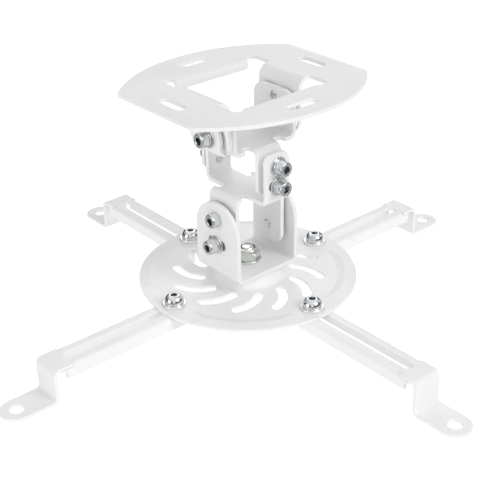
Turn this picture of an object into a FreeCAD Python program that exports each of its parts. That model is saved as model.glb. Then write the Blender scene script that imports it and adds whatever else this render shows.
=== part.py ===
"""Low ceiling mount for a projector: folded brackets that tilt, roll and swivel, and four slotted arms.

Frame: millimetres, +Z up, feet of the arms on Z = 0, swivel axis on the Z axis, plate's long axis along X.
"""

import FreeCAD
import Part
import math
import os
import re

import Sketcher

SIZES = {
    # ceiling plate
    "plate_long": 123.0,
    "plate_wide": 116.0,
    "plate_end": 64.0,
    "plate_gauge": 2.2,
    "fold_lap": 4.0,
    "plate_corner": 6.0,
    "window_long": 66.0,
    "window_wide": 62.0,
    "window_corner": 3.0,
    "slot_wide": 6.5,
    "slot_long": 20.0,
    "slot_reach_x": 49.3,
    "slot_reach_y": 44.6,
    "ear_face": 26.5,
    "ear_wide": 33.0,
    "ear_tail": 7.9,
    "ear_bend": 4.5,
    "ear_corner": 8.0,
    "lip_face": 27.0,
    "lip_long": 52.0,
    "lip_drop": 6.0,
    "lip_bend": 1.5,
    "lip_corner": 2.5,
    # tilt joint between plate ears and upper saddle
    "tilt_rise": 6.5,
    "tilt_lock": 12.4,
    "tilt_gap": 1.5,
    "tilt_washer_clear": 0.6,
    "tilt_from_angle": 77.0,
    "tilt_to_angle": 194.0,
    # upper saddle
    "saddle_gauge": 2.5,
    "saddle_bend": 2.0,
    "upper_rise": 7.0,
    "upper_crown": 5.3,
    "upper_wide": 33.0,
    "upper_corner": 8.0,
    "upper_tail": 5.8,
    "upper_foot": 4.0,
    "notch_wide": 6.0,
    "upper_notch": 11.5,
    # roll joint between the two saddles
    "roll_wide": 17.0,
    "roll_rise": 20.5,
    "roll_lock": 11.7,
    "roll_front_gap": 4.0,
    "roll_back_gap": 1.0,
    "roll_swing": 17.0,
    # lower saddle
    "lower_rise": 11.5,
    "lower_face": 26.2,
    "lower_front_crown": 7.7,
    "lower_back_crown": 5.4,
    "lower_front_corner": 5.0,
    "lower_back_corner": 5.4,
    "lower_tail": 9.5,
    "lower_drop_wide": 23.5,
    "lower_drop_corner": 6.0,
    "lower_notch_wide": 5.0,
    "lower_notch": 8.0,
    # yoke and its tilt joint
    "yoke_face": 22.8,
    "yoke_gauge": 2.5,
    "yoke_bend": 2.0,
    "yoke_wide": 36.6,
    "yoke_crown": 9.5,
    "yoke_shoulder": 0.5,
    "nod_rise": 36.3,
    "nod_lock": 16.0,
    "nod_gap": 2.3,
    "nod_swing": 17.0,
    # collars and fastener holes
    "collar_round": 5.0,
    "pin_hole": 2.55,
    "pin_slot": 5.7,
    # adapter disc
    "disc_round": 64.0,
    "disc_gauge": 1.8,
    "disc_top": 22.5,
    "hub_rise": 6.2,
    "hub_round": 16.0,
    "hub_foot": 22.0,
    "hub_soft": 3.0,
    "hub_flare": 5.0,
    "rim_rise": 1.5,
    "rim_inner": 53.0,
    "rim_step": 57.5,
    "rim_span": 62.0,
    "rim_lap": 0.5,
    "rim_ramp": 10.0,
    "rim_ramp_foot": 0.3,
    "cut_margin": 1.0,
    "screw_reach": 54.7,
    "turbine_count": 12,
    "turbine_wide": 5.6,
    "turbine_bow": 21.2,
    "turbine_bow_reach": 27.3,
    "turbine_bow_turn": -13.4,
    "turbine_from": 42.4,
    "turbine_to": 97.4,
    # centre swivel
    "swivel_pin": 4.0,
    "swivel_hole": 4.05,
    "swivel_seat_hole": 4.2,
    "swivel_head_flats": 13.0,
    "swivel_head_tall": 5.3,
    "swivel_washer_round": 8.0,
    "swivel_washer_tall": 1.4,
    "swivel_nut_flats": 13.0,
    "swivel_nut_hex": 4.6,
    "swivel_nut_tall": 6.4,
    "swivel_nut_collar": 5.9,
    "swivel_stub": 0.6,
    # arms
    "arm_gauge": 2.0,
    "arm_wide": 18.0,
    "arm_flange": 8.0,
    "arm_edge": 2.5,
    "arm_nose": 8.5,
    "arm_flange_gap": 8.2,
    "arm_flange_corner": 0.6,
    "arm_nose_corner": 2.0,
    "arm_flange_notch": 4.2,
    "arm_leg": 139.7,
    "arm_bend": 1.6,
    "arm_hole_margin": 8.9,
    "arm_slot_wide": 6.0,
    "arm_slot_lead": 4.5,
    "arm_slot_gap": 6.3,
    "arm_hole_out": 18.7,
    "arm_hole": 4.0,
    "arm_end_flat": 0.4,
    # small fasteners
    "cap_round": 4.25,
    "cap_tall": 5.0,
    "cap_socket": 4.0,
    "cap_socket_deep": 2.6,
    "cap_edge": 0.4,
    "pin_round": 2.5,
    "pin_end": 0.6,
    "flat_round": 5.5,
    "flat_hole": 2.7,
    "flat_tall": 1.0,
    "spring_round": 4.4,
    "spring_tall": 1.3,
    "spring_split": 0.9,
    "button_round": 5.5,
    "button_tall": 4.8,
    "button_dome": 2.7,
    "button_socket": 3.5,
    "button_socket_deep": 1.9,
    "disc_washer_round": 6.9,
    "disc_washer_tall": 1.4,
    "nut_flats": 8.0,
    "nut_hex": 3.5,
    "nut_tall": 5.0,
    "nut_collar": 3.6,
    "nut_stub": 0.8,
}

# heights and reaches that follow from the sizes above
DERIVED = {
    "yoke_base": "disc_top + hub_rise",
    "nod_height": "yoke_base + nod_rise",
    "yoke_top": "nod_height + yoke_crown",
    "yoke_round": "yoke_wide / 2 - yoke_shoulder",
    "lower_drop": "nod_height - nod_lock - lower_tail",
    "lower_base": "nod_height + lower_rise",
    "roll_height": "lower_base + saddle_gauge + roll_rise",
    "notch_reach": "lower_face + roll_back_gap + 2 * saddle_gauge + notch_wide",
    "lower_front_top": "roll_height + lower_front_crown",
    "lower_back_top": "roll_height + lower_back_crown",
    "upper_low": "roll_height - roll_lock - upper_tail",
    "upper_base": "roll_height + upper_rise",
    "tilt_height": "upper_base + saddle_gauge + tilt_rise",
    "lock_height": "tilt_height + tilt_lock",
    "upper_top": "lock_height + upper_crown",
    "ear_low": "tilt_height - ear_tail",
    "plate_top": "lock_height + flat_round + tilt_washer_clear + ear_bend + plate_gauge",
    "arm_slot_from": "screw_reach - arm_slot_lead",
    "arm_start": "arm_slot_from - arm_nose",
    "arm_flange_end": "arm_leg - arm_flange_gap",
    "arm_slot_to": "arm_flange_end - arm_slot_gap",
    "arm_hole_reach": "arm_leg + arm_hole_out",
    "arm_tip": "arm_hole_reach + arm_hole_margin",
    "arm_end_round": "(arm_wide - arm_end_flat) / 2",
}

ARMS = {
    "front_left": 180.0,
    "front_right": 270.0,
    "back_right": 0.0,
    "back_left": 90.0,
}

WORD = re.compile(r"[a-z_]+")
V = FreeCAD.Vector

doc = FreeCAD.newDocument("projector_mount")
dims = doc.addObject("Spreadsheet::Sheet", "dims")
for row, (alias, value) in enumerate(SIZES.items(), start=1):
    dims.set(f"A{row}", alias)
    dims.set(f"B{row}", str(value))
    dims.setAlias(f"B{row}", alias)
doc.recompute()


def bound(text):
    """Expression text with each size name pointed at the sheet and each derived name written out."""

    def point(match):
        word = match.group(0)
        if word in DERIVED:
            return "(" + bound(DERIVED[word]) + ")"
        return "dims." + word if word in SIZES else word

    return WORD.sub(point, text)


def num(text):
    """Present value of an expression over the sheet."""
    return float(dims.evalExpression(bound(text)))


def new_body(name):
    """Empty body that becomes one sub-part."""
    body = doc.addObject("PartDesign::Body", name)
    body.Label = name
    return body


def sketch_on(body, name, plane, lift="0", turn=0.0):
    """Sketch on an origin plane, lifted along the plane's normal and turned about its own upright."""
    sketch = body.newObject("Sketcher::SketchObject", name)
    support = [f for f in body.Origin.OriginFeatures if f.Role == plane][0]
    sketch.AttachmentSupport = [(support, "")]
    sketch.MapMode = "FlatFace"
    if turn:
        sketch.AttachmentOffset = FreeCAD.Placement(V(0, 0, 0), FreeCAD.Rotation(V(0, 1, 0), turn))
    if lift != "0":
        sketch.setExpression("AttachmentOffset.Base.x", bound(f"({lift}) * sin({turn})"))
        sketch.setExpression("AttachmentOffset.Base.z", bound(f"({lift}) * cos({turn})"))
    return sketch


def limit(sketch, kind, args, text):
    """Add one driving dimension and bind it to the sheet."""
    index = sketch.addConstraint(Sketcher.Constraint(kind, *args, num(text)))
    sketch.setExpression(f"Constraints[{index}]", bound(text))


def pin(sketch, geo, pos, x, y):
    """Hold one point of the sketch at two bound distances from the origin."""
    limit(sketch, "DistanceX", (-1, 1, geo, pos), x)
    limit(sketch, "DistanceY", (-1, 1, geo, pos), y)


def add_polygon(sketch, corners):
    """Closed outline of straight lines through bound corner points."""
    points = [V(num(x), num(y), 0) for x, y in corners]
    first = sketch.GeometryCount
    count = len(points)
    for i in range(count):
        sketch.addGeometry(Part.LineSegment(points[i], points[(i + 1) % count]), False)
    for i in range(count):
        after = first + (i + 1) % count
        sketch.addConstraint(Sketcher.Constraint("Coincident", first + i, 2, after, 1))
    for i, (x, y) in enumerate(corners):
        pin(sketch, first + i, 1, x, y)


def add_fold(sketch, corners):
    """Closed outline of level and upright lines; a corner's third entry is its bend radius."""
    count = len(corners)
    points = [V(num(c[0]), num(c[1]), 0) for c in corners]
    radii = [num(c[2]) if len(c) > 2 else 0.0 for c in corners]

    def toward(i, j):
        step = points[j] - points[i]
        return step.normalize()

    starts = []
    ends = []
    for i in range(count):
        ends.append(points[i] + toward(i, (i - 1) % count) * radii[i])
        starts.append(points[i] + toward(i, (i + 1) % count) * radii[i])
    lines = []
    for i in range(count):
        j = (i + 1) % count
        lines.append(sketch.addGeometry(Part.LineSegment(starts[i], ends[j]), False))
    for i in range(count):
        before = lines[(i - 1) % count]
        after = lines[i]
        if radii[i] == 0.0:
            sketch.addConstraint(Sketcher.Constraint("Coincident", before, 2, after, 1))
            continue
        into = toward((i - 1) % count, i)
        out = toward(i, (i + 1) % count)
        centre = ends[i] + out * radii[i]
        middle = centre + (into - out) * (radii[i] / math.sqrt(2.0))
        left = into.x * out.y - into.y * out.x > 0
        arc = sketch.addGeometry(Part.Arc(ends[i], middle, starts[i]), False)
        near, far = (1, 2) if left else (2, 1)
        sketch.addConstraint(Sketcher.Constraint("Tangent", before, 2, arc, near))
        sketch.addConstraint(Sketcher.Constraint("Tangent", arc, far, after, 1))
        limit(sketch, "Radius", (arc,), corners[i][2])
    for i in range(count):
        span = points[(i + 1) % count] - points[i]
        if abs(span.x) > abs(span.y):
            sketch.addConstraint(Sketcher.Constraint("Horizontal", lines[i]))
            limit(sketch, "DistanceY", (-1, 1, lines[i], 1), corners[i][1])
        else:
            sketch.addConstraint(Sketcher.Constraint("Vertical", lines[i]))
            limit(sketch, "DistanceX", (-1, 1, lines[i], 1), corners[i][0])


def add_circle(sketch, x, y, radius):
    """Circle at a bound centre."""
    circle = Part.Circle(V(num(x), num(y), 0), V(0, 0, 1), num(radius))
    geo = sketch.addGeometry(circle, False)
    pin(sketch, geo, 3, x, y)
    limit(sketch, "Radius", (geo,), radius)


def add_slot(sketch, start, end, radius):
    """Straight slot between two bound end centres."""
    a = V(num(start[0]), num(start[1]), 0)
    b = V(num(end[0]), num(end[1]), 0)
    r = num(radius)
    along = (b - a).normalize()
    side = V(-along.y, along.x, 0) * r
    cap_a = sketch.addGeometry(Part.Arc(a + side, a - along * r, a - side), False)
    low = sketch.addGeometry(Part.LineSegment(a - side, b - side), False)
    cap_b = sketch.addGeometry(Part.Arc(b - side, b + along * r, b + side), False)
    high = sketch.addGeometry(Part.LineSegment(b + side, a + side), False)
    for one, p, two, q in ((cap_a, 2, low, 1), (low, 2, cap_b, 1), (cap_b, 2, high, 1), (high, 2, cap_a, 1)):
        sketch.addConstraint(Sketcher.Constraint("Tangent", one, p, two, q))
    pin(sketch, cap_a, 3, *start)
    pin(sketch, cap_b, 3, *end)
    limit(sketch, "Radius", (cap_a,), radius)
    limit(sketch, "Radius", (cap_b,), radius)


def add_arc_slot(sketch, centre, bow, begin, finish, radius):
    """Slot bent along an arc about a bound centre, from one bound angle in degrees to a larger one."""
    c = V(num(centre[0]), num(centre[1]), 0)
    r = num(radius)

    def ray(text):
        angle = math.radians(num(text))
        return V(math.cos(angle), math.sin(angle), 0)

    def spun(text):
        angle = math.radians(num(text))
        return V(-math.sin(angle), math.cos(angle), 0)

    inner, outer = num(bow) - r, num(bow) + r
    mid = f"(({begin}) + ({finish})) / 2"
    head, tail = ray(begin), ray(finish)
    out = sketch.addGeometry(Part.Arc(c + head * outer, c + ray(mid) * outer, c + tail * outer), False)
    cap_b_mid = c + tail * num(bow) + spun(finish) * r
    cap_b = sketch.addGeometry(Part.Arc(c + tail * outer, cap_b_mid, c + tail * inner), False)
    inn = sketch.addGeometry(Part.Arc(c + tail * inner, c + ray(mid) * inner, c + head * inner), False)
    cap_a_mid = c + head * num(bow) - spun(begin) * r
    cap_a = sketch.addGeometry(Part.Arc(c + head * inner, cap_a_mid, c + head * outer), False)
    for one, p, two, q in ((out, 2, cap_b, 1), (cap_b, 2, inn, 2), (inn, 1, cap_a, 1), (cap_a, 2, out, 1)):
        sketch.addConstraint(Sketcher.Constraint("Tangent", one, p, two, q))
    pin(sketch, out, 3, *centre)
    pin(sketch, inn, 3, *centre)
    pin(sketch, cap_a, 3, f"{centre[0]} + {bow} * cos({begin})", f"{centre[1]} + {bow} * sin({begin})")
    limit(sketch, "Radius", (cap_a,), radius)
    if abs(tail.y) > abs(tail.x):
        limit(sketch, "DistanceX", (-1, 1, cap_b, 3), f"{centre[0]} + {bow} * cos({finish})")
    else:
        limit(sketch, "DistanceY", (-1, 1, cap_b, 3), f"{centre[1]} + {bow} * sin({finish})")


def pad(body, sketch, length, side="One side", back=False):
    """Extrude a sketch by a bound length."""
    feature = body.newObject("PartDesign::Pad", sketch.Name + "_pad")
    feature.Profile = sketch
    feature.SideType = side
    feature.Reversed = back
    feature.setExpression("Length", bound(length))
    doc.recompute()
    return feature


def pocket(body, sketch, length=None, side="One side", back=False):
    """Cut a sketch through everything, or to a bound depth."""
    feature = body.newObject("PartDesign::Pocket", sketch.Name + "_cut")
    feature.Profile = sketch
    feature.SideType = side
    feature.Reversed = back
    if length is None:
        feature.Type = "ThroughAll"
    else:
        feature.setExpression("Length", bound(length))
    doc.recompute()
    return feature


def spin(body, kind, sketch, angle, side="One side"):
    """Revolve a sketch about its own upright axis."""
    feature = body.newObject("PartDesign::" + kind, sketch.Name + "_spin")
    feature.Profile = sketch
    feature.ReferenceAxis = (sketch, ["V_Axis"])
    feature.Midplane = side == "Symmetric"
    feature.setExpression("Angle", bound(angle))
    doc.recompute()
    return feature


def repeat(body, name, features, count):
    """Repeat features evenly round the body's Z axis."""
    pattern = body.newObject("PartDesign::PolarPattern", name)
    pattern.Originals = features
    pattern.Axis = ([f for f in body.Origin.OriginFeatures if f.Role == "Z_Axis"][0], [""])
    pattern.Angle = 360.0
    if isinstance(count, str):
        pattern.setExpression("Occurrences", bound(count))
    else:
        pattern.Occurrences = count
    body.Tip = pattern
    doc.recompute()
    return pattern


def edges_along(shape, axis, places):
    """Names of straight edges along an axis that pass through given points of the other two axes."""
    names = []
    others = [i for i in range(3) if i != axis]
    for index, edge in enumerate(shape.Edges, start=1):
        if edge.Curve.TypeId != "Part::GeomLine":
            continue
        if abs(edge.tangentAt(edge.FirstParameter)[axis]) < 0.999:
            continue
        spot = edge.CenterOfMass
        for place in places:
            if all(abs(spot[o] - p) < 0.01 for o, p in zip(others, place)):
                names.append(f"Edge{index}")
    return names


def soften(body, name, axis, places, radius):
    """Round the edges that run along an axis through bound points."""
    spots = [tuple(num(t) for t in place) for place in places]
    base = body.Tip
    feature = body.newObject("PartDesign::Fillet", name)
    feature.Base = (base, edges_along(base.Shape, axis, spots))
    feature.setExpression("Radius", bound(radius))
    doc.recompute()
    return feature


def soften_rings(body, name, rings, radius):
    """Round the circular edges of bound radius and height about the Z axis."""
    spots = [(num(r), num(z)) for r, z in rings]
    base = body.Tip
    names = []
    for index, edge in enumerate(base.Shape.Edges, start=1):
        if edge.Curve.TypeId != "Part::GeomCircle":
            continue
        centre = edge.Curve.Center
        for r, z in spots:
            off = V(centre.x, centre.y, centre.z - z).Length + abs(edge.Curve.Radius - r)
            if off < 0.01:
                names.append(f"Edge{index}")
    feature = body.newObject("PartDesign::Fillet", name)
    feature.Base = (base, names)
    feature.setExpression("Radius", bound(radius))
    doc.recompute()
    return feature


def collars(body, name, plane, spots, face, reach, back):
    """Tapped collars formed on a tab, from inside the sheet out to their bearing face."""
    sketch = sketch_on(body, name, plane, face)
    for x, y in spots:
        add_circle(sketch, x, y, "collar_round")
    pad(body, sketch, reach, back=back)


def make_ceiling_plate():
    """Plate with bowed sides, window, four slots, two down-turned ears and two stiffening lips."""
    body = new_body("ceiling_plate")
    half, end, under = "plate_long / 2", "plate_end / 2", "plate_top - plate_gauge"
    bow = "((plate_wide - plate_end) / 2)"
    sweep = f"((plate_long / 2)^2 + {bow}^2) / (2 * {bow})"
    outline = sketch_on(body, "plate_outline", "XY_Plane", under)
    x, y, top = num(half), num(end), num("plate_wide / 2")
    right = outline.addGeometry(Part.LineSegment(V(x, -y, 0), V(x, y, 0)), False)
    back = outline.addGeometry(Part.Arc(V(x, y, 0), V(0, top, 0), V(-x, y, 0)), False)
    left = outline.addGeometry(Part.LineSegment(V(-x, y, 0), V(-x, -y, 0)), False)
    front = outline.addGeometry(Part.Arc(V(-x, -y, 0), V(0, -top, 0), V(x, -y, 0)), False)
    for one, other in ((right, back), (back, left), (left, front), (front, right)):
        outline.addConstraint(Sketcher.Constraint("Coincident", one, 2, other, 1))
    pin(outline, right, 1, half, "-" + end)
    pin(outline, right, 2, half, end)
    pin(outline, left, 1, "-" + half, end)
    pin(outline, left, 2, "-" + half, "-" + end)
    limit(outline, "Radius", (back,), sweep)
    limit(outline, "Radius", (front,), sweep)
    pad(body, outline, "plate_gauge")
    corners = [(sx + half, sy + end) for sx in ("", "-") for sy in ("", "-")]
    soften(body, "plate_corners", 2, corners, "plate_corner")

    window = sketch_on(body, "window", "XY_Plane", under)
    wx, wy, wr = "window_long / 2", "window_wide / 2", "window_corner"
    add_fold(window, [("-" + wx, "-" + wy, wr), (wx, "-" + wy, wr), (wx, wy, wr), ("-" + wx, wy, wr)])
    pocket(body, window, side="Symmetric")
    slots = sketch_on(body, "mount_slots", "XY_Plane", under)
    run = "(slot_long - slot_wide) / 2"
    for sign in ("", "-"):
        add_slot(slots, (sign + "slot_reach_x", "-" + run), (sign + "slot_reach_x", run), "slot_wide / 2")
        add_slot(slots, ("-" + run, sign + "slot_reach_y"), (run, sign + "slot_reach_y"), "slot_wide / 2")
    pocket(body, slots, side="Symmetric")

    ears = sketch_on(body, "ears", "XZ_Plane")
    lips = sketch_on(body, "lips", "YZ_Plane")
    for sign in ("", "-"):
        root, face = f"{sign}(window_long / 2 + fold_lap)", sign + "ear_face"
        inside = f"{sign}(ear_face - plate_gauge)"
        add_fold(
            ears,
            [
                (root, "plate_top"),
                (inside, "plate_top", "ear_bend + plate_gauge"),
                (inside, "ear_low"),
                (face, "ear_low"),
                (face, under, "ear_bend"),
                (root, under),
            ],
        )
        root, face = f"{sign}(window_wide / 2 + fold_lap)", f"{sign}(lip_face + plate_gauge)"
        low = "plate_top - lip_drop"
        add_fold(
            lips,
            [
                (root, "plate_top"),
                (sign + "lip_face", "plate_top", "lip_bend + plate_gauge"),
                (sign + "lip_face", low),
                (face, low),
                (face, under, "lip_bend"),
                (root, under),
            ],
        )
    pad(body, ears, "ear_wide", "Symmetric")
    pad(body, lips, "lip_long", "Symmetric")
    soften(body, "ear_corners", 0, [("ear_wide / 2", "ear_low"), ("-ear_wide / 2", "ear_low")], "ear_corner")
    low = "plate_top - lip_drop"
    soften(body, "lip_corners", 1, [("lip_long / 2", low), ("-lip_long / 2", low)], "lip_corner")

    holes = sketch_on(body, "tilt_holes", "YZ_Plane")
    add_circle(holes, "0", "tilt_height", "pin_hole")
    add_arc_slot(holes, ("0", "tilt_height"), "tilt_lock", "tilt_from_angle", "tilt_to_angle", "pin_slot / 2")
    pocket(body, holes, side="Symmetric")
    return body


def cut_notches(body, name, wide, depth):
    """Rounded relief notches in the four corners of a plus-shaped base."""
    sketch = sketch_on(body, name, "XY_Plane")
    for sx in ("", "-"):
        for sy in ("", "-"):
            x = f"{sx}(roll_wide / 2 + {wide} / 2)"
            near, far = f"{sy}({depth} + {wide} / 2)", f"{sy}(notch_reach)"
            add_slot(sketch, (x, near), (x, far), f"{wide} / 2")
    pocket(body, sketch, side="Symmetric")


def make_upper_saddle():
    """Plus-shaped fold: two tabs up into the plate's ears, two tabs down to the roll joint."""
    body = new_body("upper_saddle")
    gauge, inner, outer = "saddle_gauge", "saddle_bend", "saddle_bend + saddle_gauge"
    low, high = "upper_base", "upper_base + saddle_gauge"
    face = "(ear_face - plate_gauge - tilt_gap)"
    inside = f"({face} - {gauge})"
    tilt = sketch_on(body, "upper_tilt_fold", "XZ_Plane")
    add_fold(
        tilt,
        [
            ("-" + face, "upper_top"),
            ("-" + face, low, outer),
            (face, low, outer),
            (face, "upper_top"),
            (inside, "upper_top"),
            (inside, high, inner),
            ("-" + inside, high, inner),
            ("-" + inside, "upper_top"),
        ],
    )
    pad(body, tilt, "upper_wide", "Symmetric")
    front = "(lower_face - saddle_gauge - roll_front_gap)"
    back = "(lower_face + roll_back_gap + saddle_gauge)"
    roll = sketch_on(body, "upper_roll_fold", "YZ_Plane")
    add_fold(
        roll,
        [
            ("-" + front, "upper_low"),
            ("-" + front, high, outer),
            (back, high, outer),
            (back, "upper_low"),
            (f"{back} - {gauge}", "upper_low"),
            (f"{back} - {gauge}", low, inner),
            (f"{gauge} - {front}", low, inner),
            (f"{gauge} - {front}", "upper_low"),
        ],
    )
    pad(body, roll, "roll_wide", "Symmetric")
    cut_notches(body, "upper_notches", "notch_wide", "upper_notch")
    tops = [("upper_wide / 2", "upper_top"), ("-upper_wide / 2", "upper_top")]
    soften(body, "upper_tops", 0, tops, "upper_corner")
    feet = [("roll_wide / 2", "upper_low"), ("-roll_wide / 2", "upper_low")]
    soften(body, "upper_feet", 1, feet, "upper_foot")
    tapped = [("0", "tilt_height"), ("0", "lock_height")]
    collars(body, "tilt_collars_right", "YZ_Plane", tapped, inside, f"{gauge} + tilt_gap", False)
    collars(body, "tilt_collars_left", "YZ_Plane", tapped, "-" + inside, f"{gauge} + tilt_gap", True)
    roll_spots = [("0", "roll_height"), ("0", "roll_height - roll_lock")]
    reach = f"{gauge} + roll_front_gap"
    collars(body, "roll_front_collars", "XZ_Plane", roll_spots, f"{front} - {gauge}", reach, False)
    holes = sketch_on(body, "upper_tilt_holes", "YZ_Plane")
    for x, y in tapped:
        add_circle(holes, x, y, "pin_hole")
    pocket(body, holes, side="Symmetric")
    holes = sketch_on(body, "upper_roll_front_holes", "XZ_Plane")
    for x, y in roll_spots:
        add_circle(holes, x, y, "pin_hole")
    pocket(body, holes, back=True)
    holes = sketch_on(body, "upper_roll_back_holes", "XZ_Plane")
    add_circle(holes, "0", "roll_height", "pin_hole")
    swing = ("270 - roll_swing", "270 + roll_swing")
    add_arc_slot(holes, ("0", "roll_height"), "roll_lock", *swing, "pin_slot / 2")
    pocket(body, holes)
    return body


def make_lower_saddle():
    """Plus-shaped fold: two tabs up to the roll joint, two tabs down between the yoke's ears."""
    body = new_body("lower_saddle")
    gauge, inner, outer = "saddle_gauge", "saddle_bend", "saddle_bend + saddle_gauge"
    low, high = "lower_base", "lower_base + saddle_gauge"
    face = "(yoke_face - yoke_gauge - nod_gap)"
    inside = f"({face} - {gauge})"
    nod = sketch_on(body, "lower_nod_fold", "XZ_Plane")
    add_fold(
        nod,
        [
            ("-" + face, "lower_drop"),
            ("-" + face, high, outer),
            (face, high, outer),
            (face, "lower_drop"),
            (inside, "lower_drop"),
            (inside, low, inner),
            ("-" + inside, low, inner),
            ("-" + inside, "lower_drop"),
        ],
    )
    pad(body, nod, "lower_drop_wide", "Symmetric")
    skin = "(lower_face - saddle_gauge)"
    roll = sketch_on(body, "lower_roll_fold", "YZ_Plane")
    add_fold(
        roll,
        [
            ("-lower_face", "lower_front_top"),
            ("-lower_face", low, outer),
            ("lower_face", low, outer),
            ("lower_face", "lower_back_top"),
            (skin, "lower_back_top"),
            (skin, high, inner),
            ("-" + skin, high, inner),
            ("-" + skin, "lower_front_top"),
        ],
    )
    pad(body, roll, "roll_wide", "Symmetric")
    cut_notches(body, "lower_notches", "lower_notch_wide", "lower_notch")
    half = "roll_wide / 2"
    drop = "lower_drop_wide / 2"
    soften(body, "lower_feet", 0, [(drop, "lower_drop"), ("-" + drop, "lower_drop")], "lower_drop_corner")
    tops = [(half, "lower_front_top"), ("-" + half, "lower_front_top")]
    soften(body, "lower_front_tops", 1, tops, "lower_front_corner")
    tops = [(half, "lower_back_top"), ("-" + half, "lower_back_top")]
    soften(body, "lower_back_tops", 1, tops, "lower_back_corner")
    tapped = [("0", "nod_height"), ("0", "nod_height - nod_lock")]
    collars(body, "nod_collars_right", "YZ_Plane", tapped, inside, f"{gauge} + nod_gap", False)
    collars(body, "nod_collars_left", "YZ_Plane", tapped, "-" + inside, f"{gauge} + nod_gap", True)
    roll_spots = [("0", "roll_height"), ("0", "roll_height - roll_lock")]
    collars(body, "roll_back_collars", "XZ_Plane", roll_spots, "-" + skin, f"{gauge} + roll_back_gap", True)
    holes = sketch_on(body, "lower_nod_holes", "YZ_Plane")
    for x, y in tapped:
        add_circle(holes, x, y, "pin_hole")
    pocket(body, holes, side="Symmetric")
    holes = sketch_on(body, "lower_roll_back_holes", "XZ_Plane")
    for x, y in roll_spots:
        add_circle(holes, x, y, "pin_hole")
    pocket(body, holes)
    holes = sketch_on(body, "lower_roll_front_holes", "XZ_Plane")
    add_circle(holes, "0", "roll_height", "pin_hole")
    swing = ("270 - roll_swing", "270 + roll_swing")
    add_arc_slot(holes, ("0", "roll_height"), "roll_lock", *swing, "pin_slot / 2")
    pocket(body, holes, back=True)
    return body


def make_yoke():
    """U-shaped bracket on the disc's hub, with round-topped ears."""
    body = new_body("swivel_yoke")
    inside = "(yoke_face - yoke_gauge)"
    high = "yoke_base + yoke_gauge"
    fold = sketch_on(body, "yoke_fold", "XZ_Plane")
    add_fold(
        fold,
        [
            ("-yoke_face", "yoke_top"),
            ("-yoke_face", "yoke_base", "yoke_bend + yoke_gauge"),
            ("yoke_face", "yoke_base", "yoke_bend + yoke_gauge"),
            ("yoke_face", "yoke_top"),
            (inside, "yoke_top"),
            (inside, high, "yoke_bend"),
            ("-" + inside, high, "yoke_bend"),
            ("-" + inside, "yoke_top"),
        ],
    )
    pad(body, fold, "yoke_wide", "Symmetric")
    tops = [("yoke_wide / 2", "yoke_top"), ("-yoke_wide / 2", "yoke_top")]
    soften(body, "yoke_tops", 0, tops, "yoke_round")
    holes = sketch_on(body, "yoke_nod_holes", "YZ_Plane")
    add_circle(holes, "0", "nod_height", "pin_hole")
    swing = ("270 - nod_swing", "270 + nod_swing")
    add_arc_slot(holes, ("0", "nod_height"), "nod_lock", *swing, "pin_slot / 2")
    pocket(body, holes, side="Symmetric")
    seat = sketch_on(body, "yoke_seat", "XY_Plane")
    add_circle(seat, "0", "0", "swivel_seat_hole")
    pocket(body, seat, side="Symmetric")
    return body


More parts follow.
